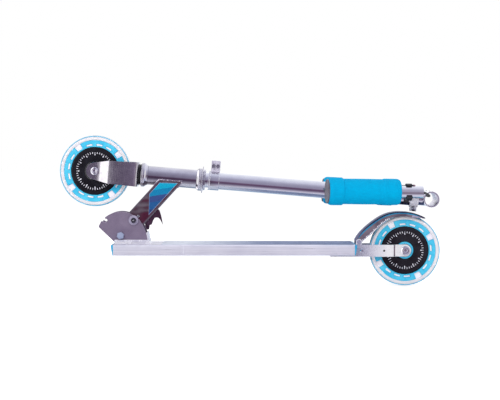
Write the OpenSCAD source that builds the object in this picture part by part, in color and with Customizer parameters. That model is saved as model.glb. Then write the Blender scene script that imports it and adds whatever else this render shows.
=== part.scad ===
// Kick scooter, folded flat: the steering column lies along the deck, the
// fold lock sits in its rear notch and both handle grips are clipped beside
// the column. +X points to the rear wheel, +Y to the far side, +Z up. The
// origin is under the middle, on the floor that the rear wheel stands on.
// Columns and grips are drawn lying along +X and then placed.

/* [Wheels] */
// Outer diameter of both wheels
wheel_d = 120; // [110:1:126]
// Width of the tyre and of the hub
wheel_w = 24; // [23:0.5:25]
// Diameter of the coloured core under the clear tyre
core_d = 104; // [104:1:109]
// Diameter of the black side discs
disc_d = 81; // [70:1:84]
// Diameter of the hub boss around the bearings
hub_d = 29; // [27:0.5:32]
// Number of clear windows around the core
window_count = 4; // [3:1:5]
// Angle that one window spans
window_angle = 13; // [8:1:16]
// Number of light slots between two windows
slot_count = 3; // [2:1:4]

/* [Bearings and axles] */
// Outer diameter of a wheel bearing
bearing_d = 22; // [20:1:24]
// Width of a wheel bearing
bearing_w = 7; // [6:0.5:8]
// Diameter of the wheel axles
axle_d = 8; // [7:0.5:9]

/* [Folded layout] */
// Distance between the two axles, measured flat
axle_span = 523; // [515:1:540]
// Height of the front axle above the floor
front_lift = 194; // [190:1:200]
// Angle at which the column slopes down to the rear
lean = 4.78; // [4:0.02:5]
// Angle that the column swings up to ride
fold_angle = 82; // [70:1:84]

/* [Fork] */
// Height of the fork strip at the crown
fork_w = 41; // [38:1:44]
// Thickness of the fork strip
fork_t = 3; // [2.5:0.5:3.5]
// Gap between the fork legs beside the tyre
fork_gap = 38; // [34:1:42]
// Distance from the axle to the top of the crown
crown_at = 73; // [71:1:75]

/* [Head tube] */
// Where the head tube starts, from the front axle
head_at = 89; // [87:1:92]
// Length of the head tube
head_len = 83; // [76:1:83]
// Diameter of the head tube
head_d = 31.5; // [30.5:0.5:34]
// Diameter of the bearing cups
cup_d = 40; // [37:0.5:44]

/* [Column] */
// Diameter of the column tube
column_d = 28; // [27:0.5:30]
// Wall of the column tube
column_wall = 1.5; // [1.2:0.1:2]
// Where the column tube ends, from the front axle
column_end = 548; // [545:1:549]
// Length of the height clamp along the column
clamp_len = 14; // [12:1:15]
// Where the two-bolt collar starts, from the front axle
collar_at = 191.5; // [190:0.5:196]
// Length of the two-bolt collar
collar_len = 18.5; // [16:0.5:22]

/* [Handlebar] */
// Distance from the front axle to the handlebar tube
bar_at = 566.5; // [565:0.5:572]
// Diameter of the handlebar tube
bar_d = 26.5; // [26:0.5:29]
// Length of the handlebar tube
bar_len = 80; // [74:1:90]
// Wall of the handlebar tube
bar_wall = 2.2; // [1.8:0.1:2.5]
// How far the handlebar can be pulled up
bar_travel = 120; // [60:5:150]

/* [Grips] */
// Diameter of the grip tubes
handle_d = 21; // [19:0.5:21]
// Wall of the grip tubes
handle_wall = 1.5; // [1:0.1:2]
// Length of the foam sleeve
foam_len = 121.5; // [110:0.5:130]
// Diameter of the foam sleeve in its middle
foam_d = 43; // [39:0.5:44]
// Diameter of the raised band at the outer end
outer_band_d = 46.6; // [44:0.2:48]
// Diameter of the raised band at the inner end
inner_band_d = 44.4; // [42:0.2:45]
// Distance of the clipped grip tubes from the column, side to side
grip_out = 35.8; // [35.5:0.1:40]
// Angle at which the grips spread away from the column
grip_spread = 7.5; // [4:0.5:9]
// How far the near grip tube lies above the column at its clip
near_rise = 9; // [7:0.5:10]
// Angle between the near grip and the column
near_tilt = 3.9; // [2:0.1:5]
// How far the far grip tube lies above the column at its clip
far_rise = 4.7; // [4:0.1:8]
// Angle between the far grip and the column
far_tilt = 2.6; // [2:0.1:5]
// How far the far grip sits further forward than the near one
far_shift = 1.4; // [0:0.1:7]

/* [Deck] */
// Length of the aluminium board
deck_len = 402.5; // [396:0.5:404]
// Width of the board
deck_w = 100; // [90:1:120]
// Height of the board
deck_h = 18.3; // [16.5:0.1:18.5]
// Wall of the board
deck_wall = 2.5; // [2:0.1:3]
// Height of the board's top above the floor
deck_top = 71.7; // [71:0.1:73]
// Where the board ends, forward of the rear axle
deck_back = 87; // [86:0.5:88]

/* [Fold bracket] */
// Pivot bolt's distance behind the front axle, measured flat
pivot_back = 43.6; // [42:0.2:46]
// Height of the pivot bolt above the board
pivot_up = 13.6; // [13:0.1:15]
// Radius at which the lock bolt travels around the pivot
lock_r = 34; // [32:0.5:35]
// Angle of the lock bolt above the horizontal when folded
lock_angle = 49.7; // [46:0.1:52]
// Radius of the bracket's rounded top
plate_r = 40.3; // [40:0.1:42]
// Thickness of the bracket plates
plate_t = 4; // [3:0.5:5]

/* [Neck] */
// Depth of the neck box, seen from the side
neck_h = 32; // [28:1:34]
// Width of the neck box, from side to side
neck_w = 30; // [28:1:32]
// Wall of the neck box
neck_wall = 2.5; // [2:0.5:3]
// Angle of the neck above the horizontal
neck_angle = 47.5; // [45:0.5:49]

/* [Rear arms and brake] */
// Height of the flat rear arms
arm_h = 20; // [18:1:22]
// Thickness of the rear arms
arm_t = 4; // [3:0.5:5]
// Gap between the arms at the deck
arm_gap = 40; // [38:1:44]
// Outer radius of the fender's curve
fender_r = 86; // [85:0.5:86]
// Thickness of the fender's sheet
fender_t = 2; // [1.5:0.1:2.2]
// Angle that the brake turns until it nearly meets the tyre
brake_angle = 1.4; // [0.5:0.1:1.5]

/* [Clearances] */
// Radial gap of a turning fit
run_gap = 0.05; // [0.03:0.01:0.08]
// Radial gap of a sliding fit
slide_gap = 0.04; // [0.02:0.01:0.05]
// Gap between pieces that pass each other
air_gap = 0.3; // [0.3:0.05:0.5]

/* [Hidden] */
$fn = 96;
eps = 0.01;

wheel_r = wheel_d / 2;
front_x = -axle_span / 2;
rear_x = axle_span / 2;
axle_r = axle_d / 2;
hub_half = wheel_w / 2;
spacer_r = axle_r + 2.6;
disc_r = disc_d / 2;
core_r = core_d / 2;
hub_r = hub_d / 2;
bearing_r = bearing_d / 2;
web_half = hub_half - 4;
rim_half = hub_half - 1;
disc_t = 1.5;
hub_bore_r = bearing_r - 2.5;
tyre_round = 4;
window_in = disc_r + 2;
window_turn_front = 35;
window_turn_rear = 28;
slot_in = disc_r + 2.4;
slot_deep = 2.4;
slot_angle = 14;
slot_pitch = 22;
bolt_r = axle_r - run_gap;
face_gap = 2 * run_gap;
spacer_t = 1.5;
leg_in = hub_half + spacer_t;

fork_half = fork_gap / 2 + fork_t;
fork_tip = 14.4;
crown_t = 4;
joggle_from = 9.5;
joggle_to = 23;
fork_bend = 7;

column_r = column_d / 2;
column_bore = column_r - column_wall;
clamp_gap = slide_gap;
steerer_r = column_bore - run_gap;
steerer_end = 235;
inner_r = column_bore - slide_gap;
inner_wall = 1.5;
inner_from = steerer_end + 20;
head_end = head_at + head_len;
head_r = head_d / 2;
head_bore = head_r - 1.5;
cup_r = cup_d / 2;
cup_len = 11;
race_w = 6;
race_in = steerer_r + run_gap;
race_out = cup_r - 3;
lower_cup_at = head_at - cup_len;
upper_cup_end = head_end + 8.5;
ring_at = upper_cup_end + air_gap + 0.3;
ring_t = 2.3;
ring_r = 22.3;
nut_t = 3.2;
collar_r = column_r + 2.2;
lug_half = 8;
lug_top = 34;
collar_bolt_z = 25;
collar_bolt_r = 2.5;
collar_lug_from = collar_at + 3.5;
clamp_at = column_end - clamp_len;
clamp_r = column_r + 2.5;
clamp_ear = 7;
clamp_drop = 23.2;
clamp_bolt_z = -18.6;
clamp_bolt_r = 2.5;
clamp_mid = clamp_at + clamp_len / 2;
clamp_lug = 11;
clamp_cam_r = 3.3;
clamp_pin_r = 1.3;
clamp_eye_half = 1.6;
clamp_lever_half = 4.2;
clamp_cam_y = clamp_ear + clamp_cam_r + 1.4;
slit = 2;
clip_len = 9;
clip_mid = clamp_at - 2 - clip_len / 2;
clip_wall = 3.6;
clip_ring = 1.8;
clip_drop = 10;

bar_r = bar_d / 2;
bar_bore = bar_r - bar_wall;
handle_r = handle_d / 2;
handle_bore = handle_r - handle_wall;
clip_bore = handle_r + air_gap;
foam_to = -15.3;
foam_from = foam_to - foam_len;
handle_end = 24;
outer_band = 25;
inner_band = 28;
foam_edge = 3;
cap_r = 20.2;
cap_t = 5.4;
button_r = 3.3;
button_x = clip_len / 2 + button_r + 0.6;
button_up = 2.4;
button_travel = 2.6;
cord_r = 2;

deck_rear = rear_x - deck_back;
deck_front = deck_rear - deck_len;
deck_bottom = deck_top - deck_h;
deck_mid = deck_top - deck_h / 2;
deck_round = 3;
rib_t = 2.5;
end_cap_t = 3.5;
mat_t = 0.8;
mat_margin = 6;

pivot_x = front_x + pivot_back;
pivot_z = deck_top + pivot_up;
pivot_r = 4;
plate_in = neck_w / 2 + air_gap;
plate_out = plate_in + plate_t;
base_t = 3.5;
lock_bolt_r = 3;
lock_slot_r = lock_bolt_r + air_gap;
front_lock = lock_angle + fold_angle;
washer_r = 8.2;
washer_t = 1.5;
lock_head_r = 4.5;
lock_head_t = 4;
lock_cam_r = 5;
lock_pin_r = 2;
lock_eye_half = 2.6;
lock_lever_half = 6.4;
lock_cam_y = plate_out + air_gap + washer_t + lock_cam_r + 1.2;
lock_x = pivot_x + lock_r * cos(lock_angle);
lock_z = pivot_z + lock_r * sin(lock_angle);
weld_r = 3.3;

arm_in = arm_gap / 2;
arm_out = arm_in + arm_t;
axle_arm_in = leg_in + 1;
arm_joggle = rear_x - 21;
arm_joggle_len = 6;
tongue_len = 40;
spacer_x = deck_rear + end_cap_t + 10.5;
spacer_tube_r = 6;
hinge_r = 2.5;
ear_r = 5;
hinge_x = deck_rear + end_cap_t + ear_r + air_gap;
hinge_z = deck_top + 3;
fender_half = arm_in - 0.5;
fender_in = fender_r - fender_t;
fender_x = rear_x - 6.9;
fender_z = wheel_r - 20.1;
skirt_r = fender_in - 6;
skirt_t = 1.6;
skirt_gap = 14;
skirt_inset = 0.3;
fender_from = 61.5;
fender_to = 154.5;
knuckle_r = hinge_r + run_gap + 1.6;
knuckle_len = 7;
coil_wire = 0.7;
coil_turns = 6;
coil_r = hinge_r + 0.2 + 2 * coil_wire;

// Route of the elastic cord, from inside the near grip tube through the
// handlebar tube into the far grip tube, lying along the column's own axes
CORD = [
    [508, -43.5, 6.5], [519, -42, 7.2], [530, -40.5, 8], [540, -39.3, 8.6],
    [547, -37, 9.8], [551, -37, 10.3], [553, -38.6, 10.2], [555.3, -41.6, 9.6], [558, -44, 8.2],
    [561.5, -42.5, 6.5], [562.5, -38.5, 5.5], [562, -33, 5], [562, -24, 5],
    [562, -15, 5], [562, -5, 5], [562, 5, 5], [562, 15, 5], [562, 24, 5],
    [562, 33, 5], [562.5, 38.5, 5.5], [561.5, 42.5, 6.5], [558, 44, 8.2],
    [555.3, 41.7, 9.6], [553, 38.7, 9.9], [551, 37, 9.6], [547, 37, 8.8],
    [540, 38.4, 6.5], [530, 39.8, 4.4], [519, 42, 3], [508, 43.5, 2.4]
];

// ---- Helpers -------------------------------------------------------------

// The column's own frame: +X runs from the front axle to the handlebar
module on_column() translate([front_x, 0, front_lift]) rotate([0, lean, 0]) children();

// The near grip's frame: +X runs along its tube towards the handlebar
module on_near_grip()
    on_column() translate([clip_mid, -grip_out, near_rise])
        rotate([0, -near_tilt, 0]) rotate([0, 0, grip_spread]) children();

// The far grip's frame
module on_far_grip()
    on_column() translate([clip_mid, grip_out, far_rise])
        rotate([0, -far_tilt, 0]) rotate([0, 0, -grip_spread])
            translate([-far_shift, 0, 0]) children();

module at_front_axle() on_column() children();
module at_rear_axle() translate([rear_x, 0, wheel_r]) children();
module at_pivot() translate([pivot_x, 0, pivot_z]) children();
module at_lock() translate([lock_x, 0, lock_z]) children();

module both_sides() {
    children();
    mirror([0, 1, 0]) children();
}

module rod_x(from, to, r)
    translate([from, 0, 0]) rotate([0, 90, 0]) cylinder(h = to - from, r = r);

module pipe_x(from, to, r_out, r_in)
    difference() {
        rod_x(from, to, r_out);
        rod_x(from - 1, to + 1, r_in);
    }

module rod_y(from, to, r)
    translate([0, to, 0]) rotate([90, 0, 0]) cylinder(h = to - from, r = r);

module pipe_y(from, to, r_out, r_in)
    difference() {
        rod_y(from, to, r_out);
        rod_y(from - 1, to + 1, r_in);
    }

// A flat outline in X and Z, given thickness from one Y to another
module slab_y(from, to)
    translate([0, to, 0]) rotate([90, 0, 0]) linear_extrude(height = to - from) children();

// A flat outline in Y and Z, given length from one X to another
module bar_x(from, to)
    translate([from, 0, 0]) rotate([90, 0, 90]) linear_extrude(height = to - from) children();

// Turns a profile of [radius, distance along X] around the X axis
module turned_x() rotate([0, 90, 0]) rotate_extrude() children();

// Turns a profile of [radius, distance along Y] around the Y axis
module turned_y() rotate([90, 0, 0]) rotate_extrude() children();

// A block that spans an angle around the Y axis, centred on Y = 0
module sector_y(at, span, r_in, r_out, half)
    rotate([90, 0, 0]) rotate([0, 0, at - span / 2])
        rotate_extrude(angle = span)
            translate([r_in, -half]) square([r_out - r_in, 2 * half]);

// A bolt head that grows towards -Y from the plane Y = 0
module socket_head(r, h, socket)
    rotate([90, 0, 0]) difference() {
        union() {
            cylinder(h = h * 0.65, r = r);
            translate([0, 0, h * 0.65]) cylinder(h = h * 0.35, r1 = r, r2 = r * 0.72);
        }
        translate([0, 0, h * 0.4]) cylinder(h = h, r = socket, $fn = 6);
    }

// A hexagon nut that grows towards +Y from the plane Y = 0
module hex_nut(r, h) rotate([-90, 0, 0]) cylinder(h = h, r = r, $fn = 6);

module rounded_rect(w, h, r)
    union() {
        square([w - 2 * r, h], center = true);
        square([w, h - 2 * r], center = true);
        for (x = [-1, 1], y = [-1, 1])
            translate([x * (w / 2 - r), y * (h / 2 - r)]) circle(r = r);
    }

// ---- Wheels --------------------------------------------------------------

// Clear tyre, cast around the core and through its windows
module tyre(turn) {
    turned_y() intersection() {
        translate([wheel_r - 4 * tyre_round, 0])
            rounded_rect(8 * tyre_round, 2 * hub_half, tyre_round);
        translate([core_r, -hub_half]) square([wheel_r - core_r, 2 * hub_half]);
    }
    for (i = [0 : window_count - 1])
        sector_y(turn + i * 360 / window_count, window_angle - 2 * face_gap, window_in + face_gap,
                 core_r + eps, rim_half);
}

module core(turn) {
    window_pitch = 360 / window_count;
    difference() {
        turned_y() {
            translate([bearing_r, -hub_half]) square([hub_r - bearing_r, 2 * hub_half]);
            translate([hub_bore_r, -hub_half + bearing_w])
                square([hub_r - hub_bore_r, 2 * (hub_half - bearing_w)]);
            translate([hub_r - eps, -web_half]) square([core_r - hub_r + eps, 2 * web_half]);
            translate([disc_r + face_gap, -rim_half])
                square([core_r - disc_r - face_gap, 2 * rim_half]);
        }
        for (i = [0 : window_count - 1]) {
            sector_y(turn + i * window_pitch, window_angle, window_in, core_r + 1, hub_half);
            for (k = [0 : slot_count - 1])
                sector_y(turn + (i + 0.5) * window_pitch + (k - (slot_count - 1) / 2) * slot_pitch,
                         slot_angle, slot_in, slot_in + slot_deep, hub_half);
        }
    }
}

module side_discs()
    both_sides()
        translate([0, -web_half - disc_t / 2, 0])
            pipe_y(-disc_t / 2, disc_t / 2, disc_r, hub_r + face_gap);

module bearing_pair()
    both_sides()
        turned_y() difference() {
            translate([axle_r, hub_half - bearing_w]) square([bearing_r - axle_r, bearing_w]);
            translate([axle_r + 2, hub_half - 0.5]) square([bearing_r - axle_r - 3.7, 1]);
        }

// Two washers outside the bearings and the tube between them
module axle_spacers(to) {
    both_sides() pipe_y(hub_half + face_gap, to, spacer_r, axle_r);
    pipe_y(-hub_half + bearing_w + face_gap, hub_half - bearing_w - face_gap,
           axle_r + 1.8, axle_r);
}

module front_tyre() color("azure", 0.6) at_front_axle() tyre(window_turn_front + lean);
module front_core() color("deepskyblue") at_front_axle() core(window_turn_front + lean);
module front_discs() color([0.08, 0.08, 0.1]) at_front_axle() side_discs();
module front_bearings() color("silver") at_front_axle() bearing_pair();
module front_spacers() color("gainsboro") at_front_axle() axle_spacers(leg_in);

module rear_tyre() color("azure", 0.6) at_rear_axle() tyre(window_turn_rear);
module rear_core() color("deepskyblue") at_rear_axle() core(window_turn_rear);
module rear_discs() color([0.08, 0.08, 0.1]) at_rear_axle() side_discs();
module rear_bearings() color("silver") at_rear_axle() bearing_pair();
module rear_spacers() color("gainsboro") at_rear_axle() axle_spacers(axle_arm_in);

module axle_bolt(out, head_r) {
    rod_y(-out - eps, out + 7, bolt_r);
    translate([0, -out, 0]) socket_head(head_r, 4.5, 2.9);
}

module axle_nut(out)
    difference() {
        translate([0, out, 0]) hex_nut(6.5, 6);
        rod_y(out - 1, out + 8, bolt_r);
    }

module front_axle_bolt() color("silver") at_front_axle() axle_bolt(leg_in + fork_t, 7);
module front_axle_nut() color("silver") at_front_axle() axle_nut(leg_in + fork_t);
module rear_axle_bolt() color("silver") at_rear_axle() axle_bolt(axle_arm_in + arm_t, 8);
module rear_axle_nut() color("silver") at_rear_axle() axle_nut(axle_arm_in + arm_t);

// ---- Fork and headset ----------------------------------------------------

// Outline of the bent strip seen from above, filled in to its middle
module fork_bend_outline(leg, half, end, bend, tip) {
    polygon([
        [-tip, -leg], [joggle_from, -leg], [joggle_to, -half], [end - bend, -half],
        [end - bend, half], [joggle_to, half], [joggle_from, leg], [-tip, leg]
    ]);
    translate([end - bend - 1, -half + bend]) square([bend + 1, 2 * (half - bend)]);
    for (y = [-1, 1])
        translate([end - bend, y * (half - bend)]) circle(r = bend);
}

module fork()
    color([0.45, 0.43, 0.48]) at_front_axle()
        difference() {
            intersection() {
                translate([0, 0, -fork_w / 2])
                    linear_extrude(height = fork_w) difference() {
                        fork_bend_outline(leg_in + fork_t, fork_half, crown_at, fork_bend,
                                          fork_tip);
                        fork_bend_outline(leg_in, fork_half - fork_t, crown_at - crown_t,
                                          fork_bend - fork_t, fork_tip + 1);
                    }
                slab_y(-fork_half - 1, fork_half + 1) {
                    circle(r = fork_tip);
                    polygon([
                        [0, -fork_tip], [joggle_from, -fork_w * 0.4],
                        [joggle_to, -fork_w * 0.468], [crown_at + 1, -fork_w / 2],
                        [crown_at + 1, fork_w / 2], [joggle_to, fork_w * 0.468],
                        [joggle_from, fork_w * 0.4], [0, fork_tip]
                    ]);
                }
            }
            rod_y(-fork_half - 1, fork_half + 1, axle_r);
        }

module steerer_tube()
    color("silver") on_column() pipe_x(crown_at, steerer_end, steerer_r, steerer_r - 2);

module lower_seal()
    color([0.1, 0.1, 0.11]) on_column() turned_x()
        polygon([
            [race_in, crown_at], [cup_r - 2, crown_at], [cup_r - 3.2, crown_at + 2],
            [cup_r - 1.6, lower_cup_at - air_gap], [race_in, lower_cup_at - air_gap]
        ]);

module lower_cup()
    color("silver") on_column() turned_x()
        polygon([
            [race_out, lower_cup_at], [cup_r, lower_cup_at], [cup_r, lower_cup_at + 6],
            [head_r + 0.7, head_at], [head_bore, head_at], [head_bore, head_at + 6],
            [head_bore - 1, head_at + 6], [head_bore - 1, lower_cup_at + race_w + 1.2],
            [race_out, lower_cup_at + race_w + 1.2]
        ]);

module upper_cup()
    color("silver") on_column() turned_x()
        polygon([
            [head_bore - 1, head_end - 6], [head_bore, head_end - 6], [head_bore, head_end],
            [head_r + 0.7, head_end], [cup_r - 1, head_end + 3.5],
            [cup_r - 1, upper_cup_end], [race_out, upper_cup_end],
            [race_out, upper_cup_end - race_w], [head_bore - 1, upper_cup_end - race_w]
        ]);

module headset_bearings()
    color("gray") on_column() {
        pipe_x(lower_cup_at + 1.2, lower_cup_at + 1.2 + race_w, race_out, race_in);
        pipe_x(upper_cup_end - race_w, upper_cup_end, race_out, race_in);
    }

module head_tube()
    color("silver") on_column() pipe_x(head_at, head_end, head_r, head_bore);

module headset_ring()
    color("silver") on_column() turned_x()
        polygon([
            [steerer_r, ring_at], [ring_r, ring_at], [ring_r, ring_at + ring_t * 0.6],
            [cup_r - 2, ring_at + ring_t], [steerer_r, ring_at + ring_t]
        ]);

module headset_nut()
    color("silver") on_column() difference() {
        translate([ring_at + ring_t, 0, 0]) rotate([0, 90, 0])
            cylinder(h = nut_t, r = cup_r - 2.6, $fn = 12);
        rod_x(ring_at, ring_at + ring_t + nut_t + 1, steerer_r);
    }

// ---- Neck and fold lock --------------------------------------------------

module on_neck() at_pivot() rotate([0, -neck_angle, 0]) children();

module neck_box() {
    neck_end = 150;
    shoulder = 7;
    toe_r = 9;
    color([0.5, 0.4, 0.5]) difference() {
        on_neck() difference() {
            union() {
                slab_y(-neck_w / 2, neck_w / 2) {
                    circle(r = toe_r);
                    polygon([
                        [0, -toe_r], [shoulder, -neck_h / 2], [neck_end, -neck_h / 2],
                        [neck_end, neck_h / 2], [shoulder, neck_h / 2], [0, toe_r]
                    ]);
                }
            }
            difference() {
                slab_y(-neck_w / 2 + neck_wall, neck_w / 2 - neck_wall)
                    translate([-toe_r - 1, -neck_h / 2 + neck_wall])
                        square([neck_end + toe_r, neck_h - 2 * neck_wall]);
                rod_y(-neck_w, neck_w, pivot_r + 3);
            }
            rod_y(-neck_w, neck_w, pivot_r + run_gap);
        }
        at_lock() rod_y(-neck_w, neck_w, lock_bolt_r);
        on_column() rod_x(0, steerer_end, head_r);
        on_column() translate([0, -neck_w, head_r * 0.2]) cube([steerer_end, 2 * neck_w, neck_w]);
    }
}

// The pin and eye at the end of a quick-release bolt. The bolt comes from -Y.
module cam_eye(eye_r, eye_half, pin_r, pin_half)
    union() {
        translate([0, 0, -eye_half]) cylinder(h = 2 * eye_half, r = eye_r);
        translate([0, 0, -pin_half]) cylinder(h = 2 * pin_half, r = pin_r);
    }

// The two cheeks of a quick-release lever, turning on the pin along Z
module cam_cheeks(cam_r, eye_half, half, pin_r)
    for (z = [-half, eye_half + air_gap])
        translate([0, 0, z]) difference() {
            union() {
                cylinder(h = half - eye_half - air_gap, r = cam_r);
                cube([cam_r + 3, cam_r * 0.8, half - eye_half - air_gap]);
            }
            translate([0, 0, -1]) cylinder(h = half, r = pin_r + run_gap);
        }

module lock_bolt()
    color("silver") at_lock() {
        rod_y(-plate_out - air_gap - washer_t - eps, plate_out + air_gap + washer_t, lock_bolt_r);
        rod_y(plate_out + washer_t, lock_cam_y, lock_eye_half);
        translate([0, -plate_out - air_gap - washer_t, 0])
            socket_head(lock_head_r, lock_head_t, 2.2);
        translate([0, lock_cam_y, 0]) cam_eye(lock_cam_r - 0.6, lock_eye_half, lock_pin_r, lock_lever_half);
    }

module lock_washers()
    color("gainsboro") at_lock() both_sides()
        pipe_y(plate_out + air_gap, plate_out + air_gap + washer_t, washer_r, lock_bolt_r);

module fold_lever() {
    lever_t = 3;
    color([0.45, 0.35, 0.45]) at_lock() translate([0, lock_cam_y, 0]) {
        cam_cheeks(lock_cam_r, lock_eye_half, lock_lever_half, lock_pin_r);
        slab_y(lock_cam_r * 0.2, lock_cam_r * 0.2 + lever_t) difference() {
            union() {
                polygon([
                    [6.5, -6.4], [6.5, 6.4], [16, 11], [35, 18.5], [40.6, 16], [44, 4],
                    [47, -11.5], [42.4, -2], [39, 2.2], [33, 2.4], [30, -2], [27, -11],
                    [22.5, -18.4], [18, -17], [15, -6.4]
                ]);
                translate([20.2, -15.6]) circle(r = 3);
            }
        }
    }
}

// ---- Deck, bracket and rear end -------------------------------------------

module deck_board()
    color([0.86, 0.87, 0.92]) bar_x(deck_front, deck_rear)
        translate([0, deck_mid]) difference() {
            rounded_rect(deck_w, deck_h, deck_round);
            square([2 * arm_out, deck_h - 2 * deck_wall], center = true);
            for (y = [-1, 1])
                translate([y * (arm_out + rib_t + deck_w / 2 - deck_wall) / 2, 0])
                    square([deck_w / 2 - deck_wall - arm_out - rib_t, deck_h - 2 * deck_wall],
                           center = true);
        }

module grip_mat()
    color([0.2, 0.2, 0.22])
        translate([pivot_x + 70, -deck_w / 2 + mat_margin, deck_top])
            cube([deck_rear - pivot_x - 70 - mat_margin, deck_w - 2 * mat_margin, mat_t]);

// End cap of the board: its top stands further out than its bottom
module end_cap_outline(out)
    polygon([
        [0, 0], [0, deck_h], [out, deck_h - 0.5], [out, deck_h - 4],
        [out * 0.75, deck_h * 0.45], [out * 0.3, 0.6], [0, 0]
    ]);

module front_end_cap()
    color([0.1, 0.6, 0.85]) translate([deck_front, 0, deck_bottom]) mirror([1, 0, 0])
        slab_y(-deck_w / 2, deck_w / 2) end_cap_outline(end_cap_t);

module rear_end_cap()
    color([0.1, 0.6, 0.85]) difference() {
        translate([deck_rear, 0, deck_bottom])
            slab_y(-deck_w / 2, deck_w / 2) end_cap_outline(end_cap_t);
        for (y = [-1, 1])
            translate([deck_rear - 1, y * (arm_in + arm_t / 2) - arm_t / 2 - 0.1,
                       wheel_r - arm_h / 2 - 0.1])
                cube([end_cap_t + 2, arm_t + 0.2, arm_h + 0.2]);
    }

// Side plate of the fold bracket, with the track that the lock bolt follows
module bracket_outline() {
    slant = 11;
    difference() {
        union() {
            intersection() {
                circle(r = plate_r);
                translate([-plate_r, -pivot_up + base_t]) square([2 * plate_r, 2 * plate_r]);
            }
            polygon([
                [plate_r * 0.72, plate_r * 0.7], [31.5, 27], [38.8, 15.3], [43, 4.9],
                [45.9, -pivot_up + base_t], [0, -pivot_up + base_t]
            ]);
        }
        // The slanted edge under the front corner
        translate([-slant, -slant]) rotate(-44.2) translate([-60, -40]) square([60, 40]);
        // The corner in front of the notch
        translate([-37.6, -1]) translate([-20, -30]) square([20, 80]);
        // The notch and the track behind it
        for (a = [lock_angle, front_lock])
            rotate(a) translate([lock_r, 0]) circle(r = lock_slot_r + 0.2);
        rotate(front_lock) translate([lock_r, -lock_slot_r])
            square([plate_r, 2 * lock_slot_r]);
        intersection() {
            difference() {
                circle(r = lock_r + lock_slot_r);
                circle(r = lock_r - lock_slot_r);
            }
            polygon([
                [0, 0], 80 * [cos(lock_angle), sin(lock_angle)], [0, 80],
                80 * [cos(front_lock), sin(front_lock)]
            ]);
        }
        circle(r = pivot_r);
    }
}

module bracket_plates()
    color([0.54, 0.49, 0.58]) at_pivot() both_sides()
        slab_y(plate_in, plate_out) bracket_outline();

// Base plate, rear web and the weld beads beside the plates
module bracket_base() {
    base_from = -10;
    base_to = 51;
    base_half = plate_out + weld_r + 1.5;
    web_t = 2.6;
    color([0.8, 0.8, 0.86]) at_pivot() {
        translate([base_from, -base_half, -pivot_up])
            cube([base_to - base_from, 2 * base_half, base_t]);
        slab_y(-plate_out, plate_out)
            polygon([
                [45.9, -pivot_up + base_t], [45.9 + web_t, -pivot_up + base_t],
                [43 + web_t, 6], [43, 4.9]
            ]);
        both_sides()
            bar_x(base_from, base_to) intersection() {
                translate([plate_out, -pivot_up + base_t]) circle(r = weld_r);
                translate([plate_out, -pivot_up + base_t]) square(2 * weld_r);
            }
    }
}

module pivot_bolt()
    color("silver") at_pivot() {
        rod_y(-plate_out - eps, plate_out + 6, pivot_r);
        mirror([0, 1, 0]) translate([0, plate_out, 0]) hex_nut(7, 4.5);
    }

module pivot_nut()
    color("silver") at_pivot() difference() {
        translate([0, plate_out, 0]) hex_nut(7, 5);
        rod_y(plate_out - 1, plate_out + 7, pivot_r);
    }

module arm_outline(from, to) intersection() {
    union() {
        translate([deck_rear - tongue_len, deck_bottom + deck_wall + 0.05])
            square([tongue_len + 1, deck_h - 2 * deck_wall - 0.1]);
        translate([deck_rear + eps, wheel_r - arm_h / 2])
            square([rear_x - deck_rear, arm_h]);
        translate([rear_x, wheel_r]) circle(r = arm_h / 2);
        translate([hinge_x, hinge_z]) circle(r = ear_r);
        translate([hinge_x - ear_r, wheel_r]) square([2 * ear_r, hinge_z - wheel_r]);
    }
    translate([from, 0]) square([to - from, 200]);
}

module rear_arms()
    color([0.8, 0.8, 0.86]) both_sides() difference() {
        intersection() {
            slab_y(0, arm_out + 1) arm_outline(deck_rear - tongue_len, rear_x + arm_h);
            linear_extrude(height = 200)
                polygon([
                    [deck_rear - tongue_len, arm_in], [arm_joggle, arm_in],
                    [arm_joggle + arm_joggle_len, axle_arm_in], [rear_x + arm_h, axle_arm_in],
                    [rear_x + arm_h, axle_arm_in + arm_t],
                    [arm_joggle + arm_joggle_len, axle_arm_in + arm_t],
                    [arm_joggle, arm_out], [deck_rear - tongue_len, arm_out]
                ]);
        }
        at_rear_axle() rod_y(0, 2 * arm_out, axle_r);
        translate([spacer_x, 0, wheel_r]) rod_y(0, 2 * arm_out, 2.5);
        translate([rear_x - 36, 0, wheel_r]) rod_y(0, 2 * arm_out, 1.7);
        translate([hinge_x, 0, hinge_z]) rod_y(0, 2 * arm_out, hinge_r);
    }

module arm_spacer()
    color("silver") translate([spacer_x, 0, wheel_r])
        pipe_y(-arm_in, arm_in, spacer_tube_r, 2.5);

module arm_screws()
    color("silver") translate([spacer_x, 0, wheel_r]) both_sides() {
        rod_y(arm_in - 12, arm_out + eps, 2.5);
        translate([0, arm_out, 0]) mirror([0, 1, 0]) socket_head(3.8, 2.2, 1.3);
    }

module hinge_pin()
    color("silver") translate([hinge_x, 0, hinge_z]) {
        rod_y(-arm_out - 1.5, arm_out + 1.5, hinge_r);
        both_sides() rod_y(arm_out, arm_out + 1.5, hinge_r + 1.2);
    }

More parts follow.
